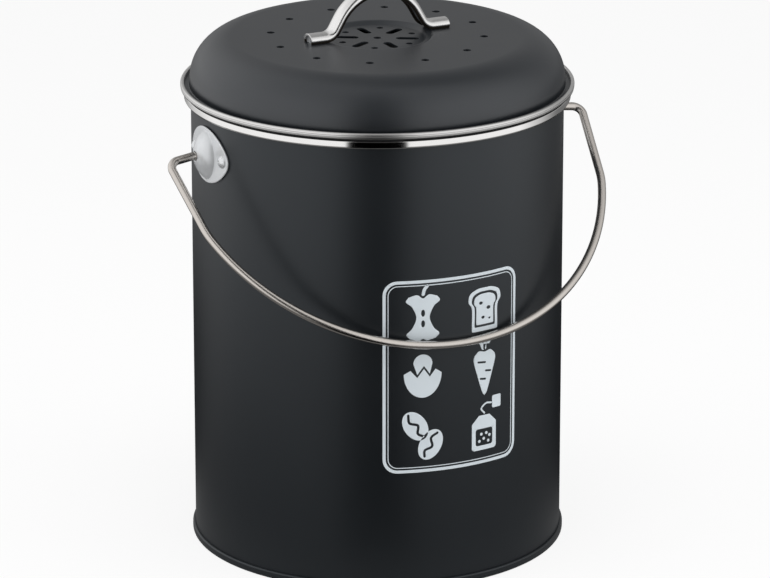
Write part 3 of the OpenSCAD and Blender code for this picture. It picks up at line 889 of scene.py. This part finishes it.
# %% Punch the vents and the studs' holes
vent_ring_r, vent_r, vent_count = 51.4 * MM, 1.9 * MM, 12
slot_in, slot_out, slot_w, slot_count = 9 * MM, 20.2 * MM, 4.0 * MM, 6
small_ring_r, small_r = 18.5 * MM, 1.65 * MM
stud_x, stud_r = 32.7 * MM, 2.0 * MM


def vent_punches():
    bm = bmesh.new()
    dish_z = top_z - dish_depth
    punch(bm, 0, 0, 0, 0, vent_r, dish_z)
    for k in range(vent_count):
        a = math.tau * k / vent_count
        punch(bm, vent_ring_r * math.cos(a), vent_ring_r * math.sin(a), 0, 0, vent_r, top_z)
    slot_mid = (slot_in + slot_out) / 2
    slot_half = (slot_out - slot_in - slot_w) / 2
    for k in range(slot_count):
        a = math.tau * k / slot_count
        punch(bm, small_ring_r * math.cos(a), small_ring_r * math.sin(a), 0, 0, small_r, dish_z)
        a += math.pi / slot_count
        punch(bm, slot_mid * math.cos(a), slot_mid * math.sin(a), a, slot_half,
              slot_w / 2, dish_z)
    for x in (-stud_x, stud_x):
        punch(bm, x, 0, 0, 0, stud_r + 0.2 * MM, top_z)
    return bm


def cut_out(bm, cutter):
    """The mesh without what lies inside the cutter."""
    parts = []
    for tool in (bm, cutter):
        bmesh.ops.recalc_face_normals(tool, faces=tool.faces)
        mesh = bpy.data.meshes.new("work")
        tool.to_mesh(mesh)
        tool.free()
        parts.append(bpy.data.objects.new("work", mesh))
        scene.collection.objects.link(parts[-1])
    body, tool = parts
    cut = body.modifiers.new("cut", "BOOLEAN")
    cut.object = tool
    cut.operation = "DIFFERENCE"
    cut.solver = "EXACT"
    bpy.context.view_layer.update()
    result = bmesh.new()
    result.from_mesh(body.evaluated_get(bpy.context.evaluated_depsgraph_get()).to_mesh())
    for part in parts:
        mesh = part.data
        bpy.data.objects.remove(part)
        bpy.data.meshes.remove(mesh)
    return result


shell = cut_out(plain_shell(), vent_punches())
fit("lid_shell_coated", shell, lid_coat, "lid", ["lid_shell"])

# %% [markdown]
# ## Rings of the lid
# A satin bead with a fine groove is rolled on to the flange's edge. Inside, a flat ring closes
# the dome's foot and carries the skirt, which centres the lid in the liner's mouth, and a
# silicone seal with two soft beads goes round the skirt. All of them are turned sections.

# %% The satin bead round the lid's edge
def edge_ring():
    ring_r = edge_high.x
    lap_r = flange_r - 1 * MM
    roof_z = lid_z + sheet + grip
    groove_z = lid_z + (edge_high.z - lid_z) * 0.52
    groove_half, groove_depth, lean = 0.25 * MM, 0.2 * MM, 0.2 * MM
    return turned([
        (flange_r + grip, lid_z, 0.2 * MM), (ring_r - lean, lid_z, 0.4 * MM),
        (ring_r, groove_z - groove_half, 0.3 * MM),
        (ring_r - groove_depth, groove_z, 0.15 * MM),
        (ring_r, groove_z + groove_half, 0.2 * MM), (ring_r, edge_high.z, 1.0 * MM),
        (lap_r, edge_high.z, 0.7 * MM),
        (lap_r, roof_z, 0.1 * MM), (flange_r + grip, roof_z, 0)], steps=8)


fit("lid_edge_bead", edge_ring(), edge_chrome, "lid", ["lid_edge_ring"])


# %% Inner ring, skirt and seal
def inner_ring():
    edge = 0.2 * MM
    low_r = skirt_high.x - sheet
    return turned([(low_r, inner_low.z, edge), (inner_high.x, inner_low.z, edge),
                   (inner_high.x, inner_high.z, edge), (low_r, inner_high.z, edge)], steps=3)


def skirt():
    skirt_r = skirt_high.x
    edge = 0.45 * MM
    return turned([(skirt_r - sheet, skirt_low.z, edge), (skirt_r, skirt_low.z, edge),
                   (skirt_r, skirt_high.z, 0), (skirt_r - sheet, skirt_high.z, 0)], steps=4)


def seal():
    web = skirt_high.x + 0.3 * MM
    bead = seal_high.x - web
    low, high = seal_low.z, seal_high.z
    middle = (low + high) / 2
    return turned([
        (skirt_high.x, low, 0), (seal_high.x, low, bead * 0.95),
        (seal_high.x, low + 2 * bead, bead * 0.95), (web, low + 2 * bead, 0.1 * MM),
        (web, middle, 0), (web, high - 2 * bead, 0.1 * MM),
        (seal_high.x, high - 2 * bead, bead * 0.95), (seal_high.x, high, bead * 0.95),
        (skirt_high.x, high, 0)])


fit("lid_inner_ring_coated", inner_ring(), lid_coat, "lid", ["lid_inner_ring"])
fit("lid_skirt_coated", skirt(), lid_coat, "lid", ["lid_skirt"])
fit("lid_seal_silicone", seal(), seal_rubber, "lid", ["lid_seal"])

# %% [markdown]
# ## The lid's handle
# A strip of steel is rolled half round and then bent into an arch with two feet, which leaves
# its hollow side underneath and its ends open. Below the round back, its short straight sides
# are rolled in a little, and a dark line of painted shade runs along them in the strip's colour.

# %% Section of the half round strip
strip_r = handle_high.y
strip_t = 1.2 * MM
strip_side = 1.6 * MM
strip_lean = math.radians(14)
arch_r = 21.5 * MM
arch_slope = math.radians(60)
foot_bend_r = 8.6 * MM


def half_round(wide, low, high, steps):
    """Points from right to left over a round back that starts at a height."""
    turns = [math.pi * n / steps for n in range(steps + 1)]
    return [(wide * math.cos(a), low + (high - low) * math.sin(a)) for a in turns]


def strip_section():
    """Points (across, out) of the strip: straight sides, a round back and soft lips."""
    inner_r = strip_r - strip_t
    foot_r = strip_r - strip_side * math.tan(strip_lean)
    lip = 0.18 * MM
    right = [(inner_r, lip), (inner_r + lip * 0.3, lip * 0.3), (inner_r + lip, 0),
             (foot_r - lip, 0), (foot_r - lip * 0.3, lip * 0.3), (foot_r, lip)]
    for share in (0.35, 0.7, 0.9):
        right.append((foot_r + (strip_r - foot_r) * share, strip_side * share))
    left = [(-across, out) for across, out in reversed(right)]
    back = half_round(strip_r, strip_side, strip_r, 40)
    hollow = half_round(inner_r, lip, inner_r, 28)
    return right[1:] + back + left[:-1] + hollow[::-1]


# %% Sweep the handle from foot to foot
def lid_handle():
    arch_z = handle_high.z - strip_r - arch_r
    leg_x = arch_r * math.sin(arch_slope)
    leg_z = arch_z + arch_r * math.cos(arch_slope)
    drop = foot_bend_r * (1 - math.cos(arch_slope))
    leg = (leg_z - top_z - drop) / math.sin(arch_slope)
    foot_x = leg_x + leg * math.cos(arch_slope) + foot_bend_r * math.sin(arch_slope)
    foot = handle_high.x - foot_x
    route = Route(handle_low.x, top_z).run(foot, 4).bend(foot_bend_r, arch_slope, 14).run(leg, 4)
    route.bend(arch_r, -2 * arch_slope, 40).run(leg, 4)
    route.bend(foot_bend_r, arch_slope, 14).run(foot, 4)
    print(f"handle: leg {leg:.4f}, foot {foot:.4f}")
    return sweep(route.stations, strip_section(), Vector((0, 0, 0)),
                 Vector((1, 0, 0)), Vector((0, 0, 1)))


handle = fit("lid_handle_strip", lid_handle(), strip_steel, "lid", ["lid_handle"])
soft_ends = handle.modifiers.new("deburred ends", "BEVEL")
soft_ends.width = 0.22 * MM
soft_ends.segments = 3
soft_ends.limit_method = "ANGLE"
soft_ends.angle_limit = math.radians(65)
handle.modifiers.move(1, 0)

# %% [markdown]
# ## Kept CAD nodes
# Studs, washers, nuts, the filter's collar and its tray already have their right shape in the
# frame. They keep it and get a finish, with a weld and a small bevel so that edges catch light.

# %% Finish the kept nodes
KEPT = {
    "lid_handle_studs": (fastener_zinc, 0.15 * MM),
    "lid_handle_washers": (fastener_zinc, 0.1 * MM),
    "lid_handle_nuts": (fastener_zinc, 0.15 * MM),
    "filter_collar": (filter_plastic, 0.25 * MM),
    "filter_tray": (filter_plastic, 0.25 * MM),
}


def keep(node, finish, edge):
    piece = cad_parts[node]
    piece.data.materials.clear()
    piece.data.materials.append(finish)
    join = piece.modifiers.new("joined", "WELD")
    join.merge_threshold = 0.001 * MM
    soft = piece.modifiers.new("soft edges", "BEVEL")
    soft.width = edge
    soft.segments = 2
    soft.limit_method = "ANGLE"
    soft.angle_limit = math.radians(50)
    shading = piece.modifiers.new("even shading", "WEIGHTED_NORMAL")
    shading.keep_sharp = True


for node, (finish, edge) in KEPT.items():
    keep(node, finish, edge)
print("kept nodes:", ", ".join(KEPT))

# %% [markdown]
# ## The charcoal pad
# The pad is a disc cut from carbon felt. It is never quite flat and its cut edge is fuzzy, so a
# disc with many rings is turned and its points are nudged by smooth noise.

# %% Felt pad
def felt_pad():
    pad_r = pad_high.x
    soft = 1.3 * MM
    lift = 0.25 * MM
    low, high = pad_low.z + 0.05 * MM, pad_high.z - lift
    rings = 14
    outline = [Vector((0, low))]
    outline += [Vector(((pad_r - 3 * soft) * n / rings, low)) for n in range(1, rings + 1)]
    edge = rounded([(pad_r - soft * 2, low, 0), (pad_r - lift, low, soft),
                    (pad_r - lift, high, soft), (pad_r - soft * 2, high, 0)])
    outline += edge
    outline += [Vector(((pad_r - 3 * soft) * n / rings, high)) for n in range(rings, 0, -1)]
    outline.append(Vector((0, high)))
    bm = turn_into(bmesh.new(), outline, turns=192)
    for v in bm.verts:
        if v.co.z > (low + high) / 2 or v.co.xy.length > pad_r - 2 * soft:
            swell = noise.noise(v.co * 90) * 0.6 + noise.noise(v.co * 420) * 0.4
            v.co.z += lift * 0.8 * swell * (v.co.z > low + soft)
            v.co.xy *= 1 + lift * 0.6 * noise.noise(v.co * 600) / pad_r
    return bm


pad = fit("charcoal_pad_felt", felt_pad(), felt, "filter", ["charcoal_filter"],
          crease=80)

# %% [markdown]
# ## The picture on the front
# The front of such a bin carries a picture printed in pale ink. This one has a plain frame
# round six kitchen scraps. Each is drawn flat in millimetres as closed lines, where a line
# inside another one is a hole. Blender's 2D curves fill them, and the filled sheet is cut in
# narrow strips so that it can follow the wall.

# %% Strokes and rounds
def ring_of(x, y, wide, high, count=40, start=0.0):
    return [(x + wide * math.cos(start + math.tau * k / count),
             y + high * math.sin(start + math.tau * k / count)) for k in range(count)]


def box_of(x, y, half_w, half_h, radius):
    corners = [(x - half_w, y - half_h, radius), (x + half_w, y - half_h, radius),
               (x + half_w, y + half_h, radius), (x - half_w, y + half_h, radius)]
    return [tuple(p) for p in rounded(corners, 8)]


def stroke(points, width):
    """Outline of a line of points, drawn with a round pen."""
    points = [Vector(p) for p in points]
    left, right = [], []
    for n, p in enumerate(points):
        way = points[min(n + 1, len(points) - 1)] - points[max(n - 1, 0)]
        side = Vector((-way.y, way.x)).normalized() * width / 2
        left.append(p + side)
        right.append(p - side)
    caps = []
    for tip, start in ((points[-1], left[-1] - points[-1]), (points[0], right[0] - points[0])):
        turn = math.atan2(start.y, start.x)
        caps.append([tip + width / 2 * Vector((math.cos(turn - math.pi * k / 8),
                                               math.sin(turn - math.pi * k / 8)))
                     for k in range(1, 8)])
    return [tuple(p) for p in left + caps[0] + right[::-1] + caps[1]]


def curve(points, steps=10):
    """Smooth line through points (Catmull-Rom)."""
    points = [Vector(p) for p in points]
    padded = [points[0] * 2 - points[1]] + points + [points[-1] * 2 - points[-2]]
    line = []
    for a, b, c, d in zip(padded, padded[1:], padded[2:], padded[3:]):
        for k in range(steps):
            t = k / steps
            line.append((b * 2 + (c - a) * t + (a * 2 - b * 5 + c * 4 - d) * t * t
                         + (b * 3 - a - c * 3 + d) * t ** 3) / 2)
    return line + [points[-1]]


# %% Six kitchen scraps
def apple_core():
    side = curve([(5.6, 8.2), (6.6, 6.4), (4.2, 4.2), (2.6, 0), (4.2, -4.2), (6.4, -6.6), (5, -8.4)])
    bottom = curve([(5, -8.4), (1.6, -9.2), (0, -8.5), (-1.6, -9.2), (-5, -8.4)])
    top = curve([(-5.6, 8.2), (-2.4, 9.0), (0, 7.6), (2.4, 9.0), (5.6, 8.2)])
    left = [Vector((-p.x, p.y)) for p in reversed(side)]
    outline = [tuple(p) for p in side + bottom[1:-1] + left + top[1:-1]]
    stem = stroke(curve([(0, 9.2), (0.5, 11), (1.6, 12.4)]), 1.3)
    pips = [ring_of(0, 1.7, 0.75, 1.4, 20), ring_of(0, -2.5, 0.75, 1.4, 20)]
    return [outline, stem, *pips]


def carrot():
    side = curve([(4.6, 5.4), (5.0, 3.2), (3.4, -2.4), (1.2, -9.2), (0, -11)])
    left = [Vector((-p.x, p.y)) for p in reversed(side)]
    top = curve([(-4.6, 5.4), (-2.6, 7.0), (0, 6.5), (2.6, 7.0), (4.6, 5.4)])
    outline = [tuple(p) for p in side + left[1:] + top[1:-1]]
    cuts = [stroke([(-2.9, 2.6), (0.2, 2.2)], 0.8), stroke([(0.6, -1.2), (2.7, -1.5)], 0.8),
            stroke([(-1.8, -4.2), (0.3, -4.5)], 0.8)]
    tops = [stroke(curve([(x * 0.35, 8.0), (x * 0.8, 10.2), (x * 1.7, 12.0)]), 1.4)
            for x in (-2.2, 0.0, 2.2)]
    return [outline, *cuts, *tops]


def egg_shell():
    bowl = [(7.4 * math.cos(a), 9.6 * math.sin(a)) for a in
            [math.pi + math.pi * k / 30 for k in range(31)]]
    cracks = [(5.0, 2.6), (2.7, -0.4), (0.4, 2.9), (-2.2, -0.6), (-4.8, 2.4)]
    bowl = [(x, y + 1.2) for x, y in bowl]
    yolk = [(3.7 * math.cos(math.pi * k / 24), 5.2 + 3.7 * math.sin(math.pi * k / 24))
            for k in range(25)]
    shell_top = [(x, y + 1.4) for x, y in reversed(cracks)]
    return [bowl + [(x, y + 0.2) for x, y in cracks], yolk + shell_top[1:-1]]


def tea_bag():
    outline = [tuple(p) for p in rounded([(-5.6, -9.4, 1.2), (5.6, -9.4, 1.2), (5.6, 1.4, 0.8),
                                          (2.4, 4.6, 0.6), (-2.4, 4.6, 0.6), (-5.6, 1.4, 0.8)], 6)]
    window = box_of(0, -4.2, 3.9, 3.4, 1.0)
    leaves = [ring_of(x, y, 0.62, 0.62, 14) for x, y in
              ((-2.2, -5.8), (-0.2, -4.9), (1.9, -6.1), (-1.3, -3.0), (1.0, -2.8), (2.5, -3.9))]
    string = stroke(curve([(0, 5.4), (-1.4, 7.4), (0.8, 9.2), (3.2, 9.0)]), 0.7)
    tag = box_of(5.8, 9.2, 2.1, 2.5, 0.5)
    return [outline, window, *leaves, string, tag]


def bread_slice():
    right = curve([(5.4, -8.6), (5.9, -7.6), (5.9, 0.6), (7.4, 3.6), (6.6, 6.8), (3.2, 8.4), (0, 8.6)])
    left = [Vector((-p.x, p.y)) for p in reversed(right)]
    outline = [tuple(p) for p in right + left[1:]]
    inner = [(x * 0.80, (y + 0.2) * 0.82) for x, y in outline]
    crumb = [(x * 0.67, (y + 0.2) * 0.71) for x, y in outline]
    holes = [ring_of(x, y, r, r * 0.8, 18) for x, y, r in
             ((-1.9, 2.6, 0.8), (1.6, 0.4, 0.9), (-0.9, -3.2, 0.75), (2.1, -3.9, 0.5))]
    return [outline, inner, crumb, *holes]


def coffee_beans():
    beans = []
    for x, y, tilt in ((-2.9, 3.9, 0.6), (3.1, -3.9, -0.5)):
        turn = Matrix.Rotation(tilt, 2)
        shape = [turn @ Vector(p) for p in ring_of(0, 0, 4.4, 6.4, 48)]
        groove = curve([(0.2, 5.2), (-1.1, 2.4), (0.9, -0.4), (-0.9, -3.0), (0.1, -5.2)])
        line = [turn @ Vector(p) for p in stroke(groove, 1.0)]
        for loop in (shape, line):
            beans.append([(p.x + x, p.y + y) for p in loop])
    return beans


# %% Lay the picture out and fill it
PRINT_HALF_W, PRINT_HALF_H = 35.5, 48.0
COLUMN, ROW = 16.2, 29.5
PRINT_AZIMUTH = math.radians(-2)
PRINT_Z = 107 * MM


def picture():
    """Closed lines of the whole picture, in millimetres from its middle."""
    lines = [box_of(0, 0, PRINT_HALF_W - inset, PRINT_HALF_H - inset, 7 - inset * 0.9)
             for inset in (0, 1.5, 2.4, 2.8)]
    motifs = [[apple_core(), bread_slice()], [egg_shell(), carrot()], [coffee_beans(), tea_bag()]]
    for r, row in enumerate(motifs):
        for c, motif in enumerate(row):
            x, y = (c * 2 - 1) * COLUMN, (1 - r) * ROW
            lines += [[(px * 1.25 + x, py * 1.25 + y) for px, py in loop] for loop in motif]
    return lines


def filled(lines):
    drawing = bpy.data.curves.new("drawing", "CURVE")
    drawing.dimensions = "2D"
    drawing.fill_mode = "BOTH"
    for loop in lines:
        spline = drawing.splines.new("POLY")
        spline.points.add(len(loop) - 1)
        for point, (x, y) in zip(spline.points, loop):
            point.co = (x * MM, y * MM, 0, 1)
        spline.use_cyclic_u = True
    holder = bpy.data.objects.new("drawing", drawing)
    scene.collection.objects.link(holder)
    bpy.context.view_layer.update()
    bm = bmesh.new()
    bm.from_mesh(holder.evaluated_get(bpy.context.evaluated_depsgraph_get()).to_mesh())
    bpy.data.objects.remove(holder)
    bpy.data.curves.remove(drawing)
    return bm


# %% Wrap the picture on the wall
def wrapped_picture():
    bm = filled(picture())
    bmesh.ops.remove_doubles(bm, verts=bm.verts, dist=1e-6)
    step = 1.6
    x = -PRINT_HALF_W + step
    while x < PRINT_HALF_W:
        everything = list(bm.verts) + list(bm.edges) + list(bm.faces)
        bmesh.ops.bisect_plane(bm, geom=everything, plane_co=(x * MM, 0, 0),
                               plane_no=(1, 0, 0), dist=1e-7)
        x += step
    ink_r = bin_r + 0.07 * MM
    for v in bm.verts:
        angle = PRINT_AZIMUTH + v.co.x / bin_r
        v.co = (ink_r * math.sin(angle), -ink_r * math.cos(angle), PRINT_Z + v.co.y)
    return bm


printed = fit("front_print", wrapped_picture(), ink, "bin", crease=180)
layer = printed.modifiers.new("ink layer", "SOLIDIFY")
layer.thickness = 0.05 * MM
layer.offset = 0
printed.modifiers.move(1, 0)

# %% [markdown]
# ## Floor and light
# A pale floor carries a soft shadow. It and the world are white where the camera looks at
# them. Metal and glossy coat see the same studio, but with what stands in it: a dark gap in
# front, where the photographer is, a dimmer back, and a floor that is darker near the bin.
# Each is a ramp over a direction or a distance, and the lamps don't show in reflections. On
# the floor this is painted: the glow that reflections see carries a painted shadow near the bin
# and painted shade in the gap and at the back.

# %% How bright the studio is round the object
FRONT = math.radians(-26.2)
AHEAD = Vector((math.sin(FRONT), -math.cos(FRONT), 0))
DIM_SIDE = FRONT + math.radians(158)  # behind the object and a little to the right
DIM = Vector((math.sin(DIM_SIDE), -math.cos(DIM_SIDE), 0))


def round_the_studio(nodes, place, towards, *stops):
    """Level by side: a stop at 1 is that way from the object and one at 0 is opposite."""
    flat = nodes.add("VectorMath", {"operation": "NORMALIZE"}, {0: nodes.stretch(place, *FLAT)})
    sockets = {0: flat, 1: towards}
    share = nodes.add("VectorMath", {"operation": "DOT_PRODUCT"}, sockets, out="Value")
    return nodes.ramp(share * 0.5 + 0.5, *stops)


def seen_by(nodes, *kinds):
    total = 0.0
    for kind in kinds:
        total = total + nodes.add("LightPath", {}, {}, out=f"Is {kind} Ray")
    return total


# %% Pale floor
FLOOR_SEEN_TO = 1.6


def floor_finish():
    material = bpy.data.materials.new("pale floor")
    material.use_nodes = True
    nodes = Nodes(material.node_tree)
    place = nodes.place()
    radius = nodes.add("VectorMath", {"operation": "LENGTH"},
                       {0: nodes.stretch(place, *FLAT)}, out="Value")
    outward = radius * (1 / FLOOR_SEEN_TO)
    # painted shadow: the floor's glow in reflections is darker near the bin, and painted shade darkens
    # it in front and behind
    near = nodes.ramp(outward, (0.065, 0.24), (0.11, 0.13), (0.20, 0.22),
                      (0.31, 0.45), (0.42, 0.80), (0.48, 1.0), (0.6, 1.0))
    gap = round_the_studio(nodes, place, AHEAD, (0.9765, 1.0), (0.981, 0.0))
    under = nodes.ramp(outward, (0.08, 1.0), (0.11, 0.0))
    sides = round_the_studio(nodes, place, AHEAD, (0.16, 0.0), (0.34, 1.0))
    far = nodes.ramp(outward, (0.20, 0.0), (0.34, 0.25), (0.45, 0.70))
    dim = round_the_studio(nodes, place, DIM, (0.68, 1.0), (0.93, 0.25))
    camera = seen_by(nodes, "Camera")
    mirror = seen_by(nodes, "Glossy", "Transmission")
    around = (gap + (1 - gap) * under) * (sides + (1 - sides) * far) * dim
    level = camera + mirror * near * around
    matte = nodes.add("BsdfDiffuse", {}, {"Color": (0.93, 0.93, 0.93, 1)})
    glow = nodes.add("Emission", {}, {"Color": level, "Strength": 1.0})
    mixed = nodes.add("MixShader", {}, {0: camera * 0.84 + mirror, 1: matte, 2: glow})
    nodes.plug(material.node_tree.nodes["Material Output"].inputs["Surface"], mixed)
    return material


def lay_floor():
    side = 6.0
    mesh = bpy.data.meshes.new("floor")
    corners = [(-side, -side, 0), (side, -side, 0), (side, side, 0), (-side, side, 0)]
    mesh.from_pydata(corners, [], [(0, 1, 2, 3)])
    mesh.materials.append(floor_finish())
    floor = bpy.data.objects.new("floor", mesh)
    scene.collection.objects.link(floor)


lay_floor()


# %% The world, white where it is seen
def studio_world():
    world = bpy.data.worlds.new("studio")
    world.use_nodes = True
    scene.world = world
    nodes = Nodes(world.node_tree)
    direction = nodes.add("TexCoord", {}, {}, out="Generated")
    camera = seen_by(nodes, "Camera")
    mirror = seen_by(nodes, "Glossy", "Transmission")
    ceiling = nodes.ramp(nodes.split(direction)[2], (0.0, 1.0), (0.55, 1.0), (0.85, 0.78),
                         (1.0, 0.72))
    gap = round_the_studio(nodes, direction, AHEAD, (0.9765, 1.0), (0.981, 0.05))
    dim = round_the_studio(nodes, direction, DIM, (0.62, 1.0), (0.80, 0.78), (0.95, 0.36))
    level = camera + mirror * ceiling * gap * dim + (1 - camera - mirror) * 0.55
    background = world.node_tree.nodes["Background"]
    nodes.plug(background.inputs["Color"], level)
    background.inputs["Strength"].default_value = 1.0


studio_world()


# %% Soft lamps
def softbox(name, azimuth, elevation, distance, size, power):
    light = bpy.data.lights.new(name, "AREA")
    light.shape = "RECTANGLE"
    light.size, light.size_y = size
    light.energy = power
    lamp = bpy.data.objects.new(name, light)
    flat = math.cos(elevation)
    aim = Vector((0, 0, 0.12))
    lamp.location = aim + distance * Vector((math.sin(azimuth) * flat, -math.cos(azimuth) * flat,
                                             math.sin(elevation)))
    lamp.rotation_euler = (lamp.location - aim).to_track_quat("Z", "Y").to_euler()
    scene.collection.objects.link(lamp)
    lamp.visible_glossy = False


softbox("left softbox", FRONT - math.radians(75), math.radians(25), 1.3, (0.8, 1.1), 5)
softbox("right softbox", FRONT + math.radians(75), math.radians(25), 1.3, (0.8, 1.1), 5)
softbox("top softbox", FRONT, math.radians(75), 1.4, (0.9, 0.9), 7)
print("floor, world and lamps made")

# %% [markdown]
# ## Camera
# The camera's place was fitted to the photograph: a long lens, eighteen degrees above the
# bin's middle and turned to the left ear. It stands square to its view, with no shift.

# %% Camera at the photograph's angle
AIM_Z = 110 * MM
CAMERA_RIGHT, CAMERA_UP, CAMERA_BACK = 3.684 * MM, 11.522 * MM, 2447.15 * MM
CAMERA_RISE = 0.3154
SENSOR = 36.0
FOCAL_SHARE = 5000.5 / 770


def photo_camera():
    data = bpy.data.cameras.new("photo camera")
    data.sensor_width = SENSOR
    data.lens = SENSOR * FOCAL_SHARE
    data.clip_end = 100
    camera = bpy.data.objects.new("photo camera", data)
    back = Vector((math.sin(FRONT) * math.cos(CAMERA_RISE),
                   -math.cos(FRONT) * math.cos(CAMERA_RISE), math.sin(CAMERA_RISE)))
    right = Vector((math.cos(FRONT), math.sin(FRONT), 0))
    up = back.cross(right)
    camera.location = (Vector((0, 0, AIM_Z)) + right * CAMERA_RIGHT + up * CAMERA_UP
                       + back * CAMERA_BACK)
    camera.rotation_euler = Matrix((right, up, back)).transposed().to_euler()
    scene.collection.objects.link(camera)
    scene.camera = camera
    print(f"camera with a {data.lens:.1f} mm lens")


photo_camera()
scene.view_settings.view_transform = "Standard"
